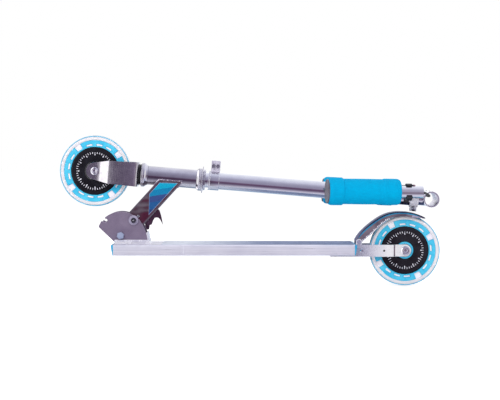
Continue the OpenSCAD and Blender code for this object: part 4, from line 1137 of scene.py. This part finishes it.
BAR_HALF, BAR_RIM, BUTTON_X = 0.0400, 0.0397, 0.0084
FOAM_END, FOAM_LEN = -0.0153, 0.1215
FOAM_START = FOAM_END - FOAM_LEN
GRIP_TUBE_R, GRIP_TUBE_IN, PIPE_END = 0.0105, 0.0090, 0.0240


def make_handlebar():
    """Short cross tube of the handlebar, open at both ends, with painted shade lining its button
    holes.
    """
    place = COLUMN @ move(BAR_AT, 0, 0) @ turn_z(pi / 2)
    back = place.inverted()

    def bare(face):
        at = back @ face.center
        return abs(at.x) > 0.0396 or sqrt(at.y ** 2 + at.z ** 2) < 0.0121

    bm = bmesh.new()
    lathe(bm, mirror([(-BAR_RIM, 0.01105), (-BAR_HALF, 0.01115), (-BAR_HALF, 0.0129),
                      (-BAR_RIM, 0.01325, 0.0002)]), place, around=160, closed=True)
    piece("cross_tube", bm, BAR_CHROME, "handlebar", "bar_metal", "handlebar_tube",
          second=(PALE_BAR, bare))
    # Painted shade: a dark lining in each button hole round the button.
    bm = bmesh.new()
    for side in (-1, 1):
        hole = COLUMN @ move(BAR_AT, side * (BAR_HALF - PIPE_END + BUTTON_X), 0)
        lathe(bm, [(0.0127, 0), (0.0127, 0.0030), (0.01322, 0.0034, 0.0001),
                   (0.01324, 0.0038, 0.0001), (0.0130, 0.0039)], hole @ turn_y(-pi / 2),
              around=32)
    piece("button_holes", bm, DARK_STEEL_AND_HOLE_SHADE, "handlebar", "bar_metal")


def make_grip(end, place):
    """Foam grip on its steel tube, with thicker bands at both ends, a cap and a button."""
    body = end + "_grip"
    start, stop = FOAM_START, FOAM_END
    turned(end + "_foam_sleeve", FOAM, (body, "foam", end + "_grip_foam"), [
        (start, GRIP_TUBE_R), (start, 0.0203, 0.0004), (start + 0.0014, 0.0222, 0.0014),
        (start + 0.0045, 0.0232, 0.0020), (start + 0.0120, 0.0232, 0.0040),
        (start + 0.0236, 0.0231, 0.0012), (start + 0.0250, 0.0212, 0.0008),
        (start + 0.0600, 0.0214, 0.0100), (stop - 0.0292, 0.0211, 0.0030),
        (stop - 0.0280, 0.0220, 0.0008), (stop - 0.0150, 0.0221, 0.0040),
        (stop - 0.0045, 0.0219, 0.0020), (stop - 0.0012, 0.0205, 0.0016),
        (stop, 0.0186, 0.0006), (stop, GRIP_TUBE_R)],
        place, 0.0005, smooth=50, around=144, steps=6, closed=True)
    turned(end + "_end_plug", GREY_CAP, (body, "cap_plastic", end + "_grip_cap"), [
        (start - 0.0012, 0), (start - 0.0012, 0.0150), (start - 0.0014, 0.0180, 0.0006),
        (start - 0.0022, 0.0188, 0.0005), (start - 0.0024, 0.0196, 0.0004),
        (start - 0.0012, 0.0201, 0.0005), (start - 0.0001, 0.0201, 0.0002),
        (start - 0.0001, GRIP_TUBE_IN), (start + 0.0118, GRIP_TUBE_IN - 0.0001),
        (start + 0.0118, 0)], place, 0.0002, around=96)
    turned(end + "_grip_pipe", CHROME, (body, "chrome", end + "_grip_tube"), [
        (start, GRIP_TUBE_IN), (start, GRIP_TUBE_R), (PIPE_END - 0.0003, GRIP_TUBE_R),
        (PIPE_END, 0.0102), (PIPE_END, 0.0093), (PIPE_END - 0.0003, GRIP_TUBE_IN)],
        place, around=128, closed=True)
    turned(end + "_snap_button", BUTTON, (end + "_button", "zinc", end + "_button"), [
        (0.0050, 0), (0.0050, 0.0032), (0.0112, 0.0033, 0.0002), (0.0122, 0.0030, 0.0006),
        (0.0128, 0.0018, 0.0008), (0.0129, 0)], place @ move(BUTTON_X, 0, 0) @ turn_y(-pi / 2),
        0.0003, around=40)


make_handlebar()
make_grip("near", NEAR_GRIP)
make_grip("far", FAR_GRIP)
ride(clean_copy("grip_cord", "elastic_cord", BRAID), "handlebar", "cord", "elastic_cord")

# ---- Deck -----------------------------------------------------------------

MAT_FROM, MAT_TO, MAT_HALF, MAT_T = -0.1479, 0.1738, 0.044, 0.0008
CORNER_R = 0.003
PRESS_MARKS, PRESS_DEPTH = (-0.1120, 0.1440), 0.0004


def rectangle(left, right, low, high):
    return round_corners([(left, low), (right, low), (right, high), (left, high)], CORNER_R, 8)


def make_board():
    """Drawn board with rounded edges and two pressed lines down each side."""
    stations = [(DECK_FRONT, 0), (DECK_REAR, 0)]
    for at in PRESS_MARKS:
        stations += [(at + off, PRESS_DEPTH if abs(off) < 0.001 else 0)
                     for off in (-0.0020, -0.0018, -0.0006, 0.0006, 0.0018, 0.0020)]
    section = rectangle(-DECK_HALF, DECK_HALF, DECK_TOP - DECK_H, DECK_TOP)
    bm = bmesh.new()
    loft(bm, [[(x, y - (dip if y > 0 else -dip) * (abs(y) > 0.0475), z) for y, z in section]
              for x, dip in sorted(stations)])
    piece("board", bm, DECK, "deck", "deck_metal", "deck_board")


make_board()
bm = bmesh.new()
prism(bm, rectangle(MAT_FROM, MAT_TO, -MAT_HALF, MAT_HALF), 0, MAT_T,
      move(0, 0, DECK_TOP) @ turn_x(pi / 2))
piece("anti_slip_sheet", bm, GRIT, "deck", "mat", "grip_mat", edge=(0.0003, 2))
for end in ("front", "rear"):
    ride(clean_copy(end + "_cap_moulding", end + "_end_cap", BLUE_CAP, 0.0006, 3), "deck",
         "blue_plastic", end + "_end_cap")

# ---- Rear arms, fender and axles ------------------------------------------

ARM_IN, ARM_OUT, AXLE_IN, ARM_CHAMFER = 0.020, 0.024, 0.0145, 0.0004
ARM_START, ARM_LOW, ARM_HIGH, EAR_R, TAIL_R = 0.1345, 0.050, 0.070, 0.005, 0.010
JOGGLE, JOGGLE_LEN = 0.2405, 0.006
SPACER_X, SPACER_Z, HINGE_X, HINGE_Z, HINGE_END = 0.1885, 0.060, 0.1833, 0.0747, 0.0255
SPRING_TURNS, WIRE_R, COIL_R = 6, 0.0007, 0.0034
FENDER_X, FENDER_Z, FENDER_R, FENDER_HALF = 0.2546, 0.0399, 0.086, 0.0195
FENDER_FROM, FENDER_TO, FENDER_T = 61.5, 154.5, 0.0018
FLAT_FROM, FLAT_SPAN, FLAT_DEPTH = 100, 56, 0.0024
BEAD_ARC_R, WEB_TOP_R, TOOTH_FROM, TOOTH_TO = 0.0830, 0.0846, 0.0186, 0.0194
WEB_EDGE = ((62, 0.0840), (68, 0.0808), (75.5, 0.0780), (90, 0.0776), (103.5, 0.0764),
            (117, 0.0740), (126, 0.0724), (136, 0.0712), (146, 0.0724), (155, 0.0752))


def arm_offset(x):
    """How far an arm has stepped in towards the wheel at x."""
    t = min(max((x - JOGGLE) / JOGGLE_LEN, 0), 1)
    return (ARM_IN - AXLE_IN) * t * t * (3 - 2 * t)


def arm_stations():
    """Places along an arm with its lower and upper edge: an ear at the hinge, a round tail."""
    flat = [ARM_START, HINGE_X - EAR_R * 1.004, HINGE_X + EAR_R * 1.004]
    flat += [JOGGLE + JOGGLE_LEN * k / 12 for k in range(-1, 14)]
    stations = [(x, ARM_LOW, ARM_HIGH) for x in flat]
    stations += [(x, ARM_LOW, z)
                 for x, z in arc_points((HINGE_X, HINGE_Z), EAR_R, 180, 0, 24)]
    for x, z in arc_points((REAR_AXLE.x, 0), TAIL_R, 90, 0, 32):
        rise = max(z, 0.0006)
        stations.append((x, REAR_AXLE.z - rise, REAR_AXLE.z + rise))
    return sorted(stations)


def make_arms():
    """Two plate arms, stepped in near the axle, with painted shade on the step's sloped faces, and
    a black disc of painted shade for a small hole in each.
    """
    cut = ARM_CHAMFER
    bm = bmesh.new()
    for side in (-1, 1):
        rings = []
        for x, low, high in arm_stations():
            near, far = ARM_IN - arm_offset(x), ARM_OUT - arm_offset(x)
            rings.append([(x, side * y, z) for y, z in (
                (near, low + cut), (near + cut, low), (far - cut, low), (far, low + cut),
                (far, high - cut), (far - cut, high), (near + cut, high), (near, high - cut))])
        loft(bm, rings)
    # Painted shade: the sloped faces of each arm's step take the darker web steel.
    piece("arm_pair", bm, ARM, "deck", "base_metal", "rear_arms", second=(WEB_STEEL_AND_STEP_SHADE, lambda f: (
        JOGGLE + 0.0012 < f.center.x < JOGGLE + 0.0042 and abs(f.normal.z) < 0.5)))
    # Painted shade: a black disc on each arm where a small hole would look dark.
    turned_pair("arm_hole_shade", BLACK_MATTE, ("deck", "black_plastic"), [
        (ARM_OUT - 0.0005, 0), (ARM_OUT + 0.00005, 0), (ARM_OUT + 0.00005, 0.0017),
        (ARM_OUT - 0.0005, 0.0017)], REAR_AXLE.x - 0.036, REAR_AXLE.z, around=24)


def make_arm_fasteners():
    """Spacer tube, its two screws, the fender's pin and the spring around it."""
    turned("spacer_tube", ZINC, ("deck", "zinc", "arm_spacer"), mirror([
        (-ARM_IN, 0.0025), (-ARM_IN, 0.0056), (-ARM_IN + 0.0004, 0.0060, 0.0002)]),
        along_y(SPACER_X, SPACER_Z, 1), around=48, closed=True)
    turned_pair("arm_screw_pair", AXLE_STEEL, ("deck", "zinc", "arm_screws"), [
        (0.008, 0), (0.008, 0.0023), (ARM_OUT, 0.0023), (ARM_OUT, 0.0036),
        (ARM_OUT + 0.0006, 0.0038, 0.0003), (ARM_OUT + 0.0018, 0.0030, 0.0008),
        (ARM_OUT + 0.0022, 0.0016, 0.0003), (ARM_OUT + 0.0008, 0.0013), (ARM_OUT + 0.0006, 0)],
        SPACER_X, SPACER_Z, 0.0001, around=40)
    turned("fender_pin", PALE_ZINC, ("deck", "zinc", "hinge_pin"), mirror([
        (-HINGE_END, 0), (-HINGE_END, 0.0030), (-HINGE_END + 0.0004, 0.0037, 0.0003),
        (-ARM_OUT, 0.0037), (-ARM_OUT, 0.0025)]), along_y(HINGE_X, HINGE_Z, 1), 0.0001,
        around=40)
    coil = [(COIL_R * cos(tau * k / 20), WIRE_R * (2 * k / 20 - SPRING_TURNS),
             COIL_R * sin(tau * k / 20)) for k in range(SPRING_TURNS * 20 + 1)]
    bm = bmesh.new()
    swept_tube(bm, coil, WIRE_R * 0.92, 10, move(HINGE_X, 0, HINGE_Z))
    piece("return_spring", bm, SPRING, "deck", "spring_steel", "brake_spring")


def make_axle(name, body, where, out, head_r):
    """Axle screw with a socket head, and its nut on the far side."""
    turned(name + "_axle_screw", AXLE_STEEL, (body, "zinc", name + "_axle_bolt"), [
        (-out, 0), (-out, 0.0039), (out, 0.0039), (out, head_r - 0.0004),
        (out + 0.0006, head_r, 0.0003), (out + 0.0034, head_r * 0.94, 0.0008),
        (out + 0.0045, head_r * 0.66, 0.0008), (out + 0.0042, head_r * 0.52, 0.0003),
        (out + 0.0045, head_r * 0.42, 0.0002), (out + 0.0042, 0.0030, 0.0001),
        (out + 0.0014, 0.0028), (out + 0.0010, 0)], where @ turn_z(-pi / 2), 0.0001, around=72)
    bm = bmesh.new()
    hex_head(bm, where @ turn_z(pi / 2), out, out + 0.0060, 0.0065, 0.0042)
    piece(name + "_axle_hex", bm, ZINC, body, "zinc", name + "_axle_nut")


def fender_arc(radius, start, end, count):
    return arc_points((FENDER_X, FENDER_Z), radius, start, end, count)


def web_depth(angle):
    """Radius of the web's inner edge at an angle, deepest half way down to the hinge."""
    for (a, r), (b, s) in zip(WEB_EDGE, WEB_EDGE[1:]):
        if angle <= b:
            return r + (s - r) * (angle - a) / (b - a)
    return WEB_EDGE[-1][1]


def web_line(start, end, more=0.0):
    """The web's inner edge, in steps of a degree."""
    return [fender_arc(web_depth(a) + more, a, a, 1)[0] for a in range(start, end, -1)]


def flatten(bm):
    """Draws the fender's curve in a little, half way down to the hinge."""
    for vert in bm.verts:
        x, z = vert.co.x - FENDER_X, vert.co.z - FENDER_Z
        share = (degrees(atan2(z, x)) - FLAT_FROM) / FLAT_SPAN
        if 0 < share < 1:
            less = 1 - FLAT_DEPTH * sin(pi * share) ** 2 / sqrt(x * x + z * z)
            vert.co.x, vert.co.z = FENDER_X + x * less, FENDER_Z + z * less


def fender_piece(name, bm, material, *nodes, flat=True, edge=None):
    if flat:
        flatten(bm)
    piece(name, bm, material, "brake", "fender_chrome", *nodes, edge=edge)


def make_fender():
    """Sprung fender: a crowned strip with a rolled bead whose teal is a painted reflection, a
    toothed web on each side, hinge eyes.
    """
    bm = bmesh.new()
    crown = [(y / 10 * FENDER_HALF, FENDER_R - 0.0005 * (y / 10) ** 2) for y in range(-10, 11)]
    under = [(x, r - FENDER_T) for x, r in reversed(crown)]
    lathe(bm, [(*p, 0) for p in crown + under], move(FENDER_X, 0, FENDER_Z) @ turn_z(pi / 2),
          around=120, closed=True, start=radians(180 - FENDER_TO),
          arc=radians(FENDER_TO - FENDER_FROM))
    fender_piece("fender_strip", bm, FENDER_CHROME, "fender", edge=(0.0004, 2, 50))
    webs, beads, teeth, tips = (bmesh.new() for _ in range(4))
    web = fender_arc(WEB_TOP_R, FENDER_FROM + 0.4, FENDER_TO, 100) + web_line(154, 62)
    tip = fender_arc(BEAD_ARC_R, FENDER_FROM + 1.2, 77, 14) + web_line(77, 64, 0.0002)
    for span in mirrored(0.0176, 0.0190):
        prism(webs, web, *span)
    for side in (-1, 1):
        edge = [(x, side * 0.0184, z) for x, z in fender_arc(BEAD_ARC_R, 63, 154, 91)]
        swept_tube(beads, edge, lambda t: 0.0013 * min(1, 0.3 + 6 * min(t, 1 - t)), 10)
    for span in mirrored(TOOTH_FROM, TOOTH_TO):
        prism(tips, tip, *span)
        for k in range(22):
            a = 105 + k * 2.2
            grow = 0.0016 + 0.0007 * ((k * 7) % 3)
            prism(teeth, fender_arc(web_depth(a) + grow, a, a + 1.3, 3)
                  + fender_arc(web_depth(a) - 0.0004, a + 1.3, a, 3), *span)
    fender_piece("fender_webs", webs, WEB_STEEL_AND_STEP_SHADE, edge=(0.0003, 2, 50))
    # The beads' teal is a painted reflection of the blue grips and wheel.
    fender_piece("fender_beads", beads, PAINTED_BLUE_REFLECTION)
    fender_piece("fender_teeth", teeth, PALE_STEEL)
    fender_piece("fender_tips", tips, PALE_ZINC, flat=False)
    turned_pair("fender_eyes", FENDER_CHROME, ("brake", "fender_chrome"), [
        (0.0125, 0.0028), (0.0125, 0.0046), (0.0129, 0.0050, 0.0003),
        (0.0191, 0.0050, 0.0003), (0.0195, 0.0046), (0.0195, 0.0028)],
        HINGE_X, HINGE_Z, around=48, closed=True)


make_arms()
make_arm_fasteners()
make_axle("rear", "deck", REAR, 0.0185, 0.008)
make_axle("front", "column", COLUMN, 0.0165, 0.007)
make_fender()

# ---- Wheels ---------------------------------------------------------------

WINDOWS, WINDOW_ARC = 4, radians(13)
SLOTS, SLOT_ARC, SLOT_PITCH = 3, radians(14), radians(22)
SLOT_IN, SLOT_OUT = 0.0426, 0.0458
TICKS, TICK_T = 48, 0.00016
WINDOW_PITCH = tau / WINDOWS


def wheel_place(centre):
    """A place whose X axis runs along the axle, so that a lathe turns a wheel."""
    return Matrix.Translation(centre) @ turn_z(pi / 2)


def turned_sides(name, material, rides, profile, centre, radius=0.0, **how):
    """A piece with the same lathed shape on both sides of a wheel."""
    bm = bmesh.new()
    for side in (-1, 1):
        lathe(bm, [(side * x, *rest) for x, *rest in profile], wheel_place(centre), radius,
              **how)
    piece(name, bm, material, *rides)


def ring_block(bm, centre, at, span, r_in, r_out, half, steps):
    """A closed block that spans an angle of the wheel, seen from the near side."""
    low, high = degrees(at - span / 2), degrees(at + span / 2)
    outline = arc_points((0, 0), r_out, low, high, steps) + arc_points((0, 0), r_in, high, low,
                                                                       steps)
    prism(bm, outline, -half, half, Matrix.Translation(centre))


def slot_angle(k):
    """Where the middle of a slot is, from the middle of its group."""
    return (k - (SLOTS - 1) / 2) * SLOT_PITCH


def make_tyre(end, centre, body):
    """Clear tyre: a thick cast ring with rounded shoulders, and in each shoulder a blue hoop, a
    painted reflection of the core.
    """
    turned(end + "_clear_tyre", CLEAR, (body, "clear_tyre", end + "_tyre"), mirror([
        (-0.0108, CORE_R + 0.0001), (-0.0119, CORE_R + 0.0012, 0.0008),
        (-0.0119, WHEEL_R - 0.0035, 0.003), (-0.0080, WHEEL_R - 0.0006, 0.003)],
        (0, WHEEL_R, 0.004)), wheel_place(centre), 0.001, around=144, closed=True)
    # Painted reflection: a blue hoop inside each shoulder of the tyre.
    turned_sides(end + "_tyre_skin", RIM_REFLECTION, (body, "clear_tyre"), [
        (x, WHEEL_R - drop) for x, drop in (
            (0.0099, 0.00075), (0.0109, 0.0014), (0.0107, 0.0022), (0.0097, 0.0014))],
        centre, around=144, closed=True)


def make_core(end, centre, turn, body):
    """Blue core: web and hub, and a rim drum with windows and slots."""
    bm = bmesh.new()
    lathe(bm, mirror([
        (-WHEEL_HALF, 0.0111), (-WHEEL_HALF, HUB_R - 0.0004, 0.0004), (-WEB_HALF, HUB_R, 0.0003),
        (-WEB_HALF, DISC_R + 0.0002)]), wheel_place(centre), 0.0003, around=128, closed=True)
    reach = (WINDOW_PITCH - WINDOW_ARC) / 2
    for i in range(WINDOWS):
        middle = turn + (i + 0.5) * WINDOW_PITCH
        ring_block(bm, centre, middle, 2 * reach, SLOT_OUT, CORE_R - 0.0001, RIM_HALF, 40)
        ring_block(bm, centre, middle, WINDOW_PITCH, DISC_R + 0.0002, SLOT_IN, RIM_HALF, 40)
        for k in range(SLOTS + 1):
            low = -reach if k == 0 else slot_angle(k - 1) + SLOT_ARC / 2
            high = reach if k == SLOTS else slot_angle(k) - SLOT_ARC / 2
            ring_block(bm, centre, middle + (low + high) / 2, high - low, SLOT_IN, SLOT_OUT,
                       RIM_HALF, 8)
    piece(end + "_blue_core", bm, BLUE_CORE, body, "core_plastic", end + "_core",
          edge=(0.0004, 2, 50))


def make_core_lights(end, centre, turn, body):
    """Milky inserts in the slots, and the lamp blocks behind the clear windows."""
    bm = bmesh.new()
    for i in range(WINDOWS):
        window = turn + i * WINDOW_PITCH
        for k in range(SLOTS):
            ring_block(bm, centre, window + WINDOW_PITCH / 2 + slot_angle(k),
                       SLOT_ARC - radians(1.2), SLOT_IN + 0.0003, SLOT_OUT - 0.0003,
                       RIM_HALF - 0.0006, 8)
        for off, span, r_in, r_out, half, steps in (
                (0, degrees(WINDOW_ARC) - 0.6, 0.0428, 0.0530, 0.0094, 10),
                (2.2, 2.4, 0.0452, 0.0495, 0.0098, 4), (-2.6, 1.6, 0.0448, 0.0502, 0.0100, 4)):
            ring_block(bm, centre, window + radians(off), radians(span), r_in, r_out, half,
                       steps)
    piece(end + "_core_lights", bm, MILKY, body, "clear_tyre", edge=(0.0003, 2, 50))


def make_discs(end, centre, body):
    """Gloss black side discs with a rolled lip, a groove and a stepped hub edge."""
    turned_sides(end + "_side_discs", BLACK_GLOSS, (body, "disc_plastic", end + "_discs"), [
        (WEB_HALF + x, *rest) for x, *rest in (
            (0.0001, HUB_R + 0.0002), (DISC_T, HUB_R + 0.0002, 0.0003),
            (DISC_T + 0.0004, HUB_R + 0.0012, 0.0005), (DISC_T, HUB_R + 0.0024, 0.0004),
            (DISC_T, DISC_R - 0.0014, 0.0004), (DISC_T - 0.0004, DISC_R - 0.0002, 0.0006),
            (0.0001, DISC_R - 0.0001))], centre, 0.0002, around=128, closed=True)


def tick_tree():
    """Repeats a tick around a circle. Gives the node tree, and its inputs by name."""
    tree = bpy.data.node_groups.new("ticks_around", "GeometryNodeTree")
    tree.interface.new_socket("Geometry", in_out="INPUT", socket_type="NodeSocketGeometry")
    wants = {}
    for label, kind in (("Count", "Int"), ("Circle Radius", "Float"), ("Tick Length", "Float"),
                        ("Tick Width", "Float"), ("Tick Height", "Float"),
                        ("Finish", "Material")):
        wants[label] = tree.interface.new_socket(
            label, in_out="INPUT", socket_type="NodeSocket" + kind).identifier
    tree.interface.new_socket("Geometry", in_out="OUTPUT", socket_type="NodeSocketGeometry")
    w = Wiring(tree)
    given = w.add("NodeGroupInput").outputs
    circle = w.add("GeometryNodeMeshCircle", ("Vertices", given["Count"]),
                   ("Radius", given["Circle Radius"]))
    size = w.add("ShaderNodeCombineXYZ", (0, given["Tick Length"]), (1, given["Tick Width"]),
                 (2, given["Tick Height"]))
    turn = w.add("FunctionNodeAlignRotationToVector",
                 ("Vector", w.add("GeometryNodeInputPosition")), axis="X")
    put = w.add("GeometryNodeInstanceOnPoints", ("Points", circle), ("Rotation", turn),
                ("Instance", w.add("GeometryNodeMeshCube", ("Size", size)).outputs["Mesh"]))
    finish = w.add("GeometryNodeSetMaterial", ("Material", given["Finish"]),
                   ("Geometry", w.add("GeometryNodeRealizeInstances", (0, put))))
    w.add("NodeGroupOutput", (0, finish))
    return tree, wants


TICK_TREE, TICK_INPUTS = tick_tree()


def add_ticks(bm, place, **wanted):
    """Adds the ticks around a circle in the XY plane of a place."""
    obj = add_object("ticks", bpy.data.meshes.new("ticks"))
    mod = obj.modifiers.new("ticks", "NODES")
    mod.node_group = TICK_TREE
    for label, value in wanted.items():
        mod[TICK_INPUTS[label.replace("_", " ")]] = value
    mesh = bake(obj).data
    bpy.data.objects.remove(obj)
    mesh.transform(place)
    bm.from_mesh(mesh)
    bpy.data.meshes.remove(mesh)


def make_disc_ticks(end, centre, body):
    """Plain scale ticks printed around both discs, long and short."""
    bm = bmesh.new()
    for side in (-1, 1):
        place = Matrix.Translation(centre) @ move(0, side * (WEB_HALF + DISC_T), 0)
        for count, radius, length, width in ((TICKS, 0.0304, 0.0030, 0.0009),
                                             (TICKS // 4, 0.0292, 0.0054, 0.0014)):
            add_ticks(bm, place @ turn_x(pi / 2), Count=count, Circle_Radius=radius,
                      Tick_Length=length, Tick_Width=width, Tick_Height=TICK_T,
                      Finish=TICK_WHITE)
    piece(end + "_disc_ticks", bm, TICK_WHITE, body, "disc_plastic")


def make_bearings(end, centre, body):
    """Bearings: both races and the sunk face between them, in one finish."""
    turned_sides(end + "_races", ZINC, (body, "zinc", end + "_bearings"), [
        (0.0050, 0.0041), (0.0119, 0.0041), (0.0119, 0.0060, 0.0002), (0.0115, 0.0062),
        (0.0115, 0.0092), (0.0119, 0.0094), (0.0119, 0.0109, 0.0003), (0.0050, 0.0109)],
        centre, 0.0002, around=64, closed=True)


for end, centre, turn in (("front", FRONT_AXLE, FRONT_TURN), ("rear", REAR_AXLE, REAR_TURN)):
    wheel_body = end + "_wheel"
    make_tyre(end, centre, wheel_body)
    make_core(end, centre, turn, wheel_body)
    make_core_lights(end, centre, turn, wheel_body)
    make_discs(end, centre, wheel_body)
    make_disc_ticks(end, centre, wheel_body)
    make_bearings(end, centre, wheel_body)

# ---- Finishes of the CAD nodes that stay ----------------------------------

CAD_LOOKS = (
    (ZINC, "headset_bearings rear_spacers front_spacers"),
    (CHROME, "steerer_tube column_tube inner_tube"),
)

for material, names in CAD_LOOKS:
    for name in names.split():
        for material_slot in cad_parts[name].material_slots:
            material_slot.material = material
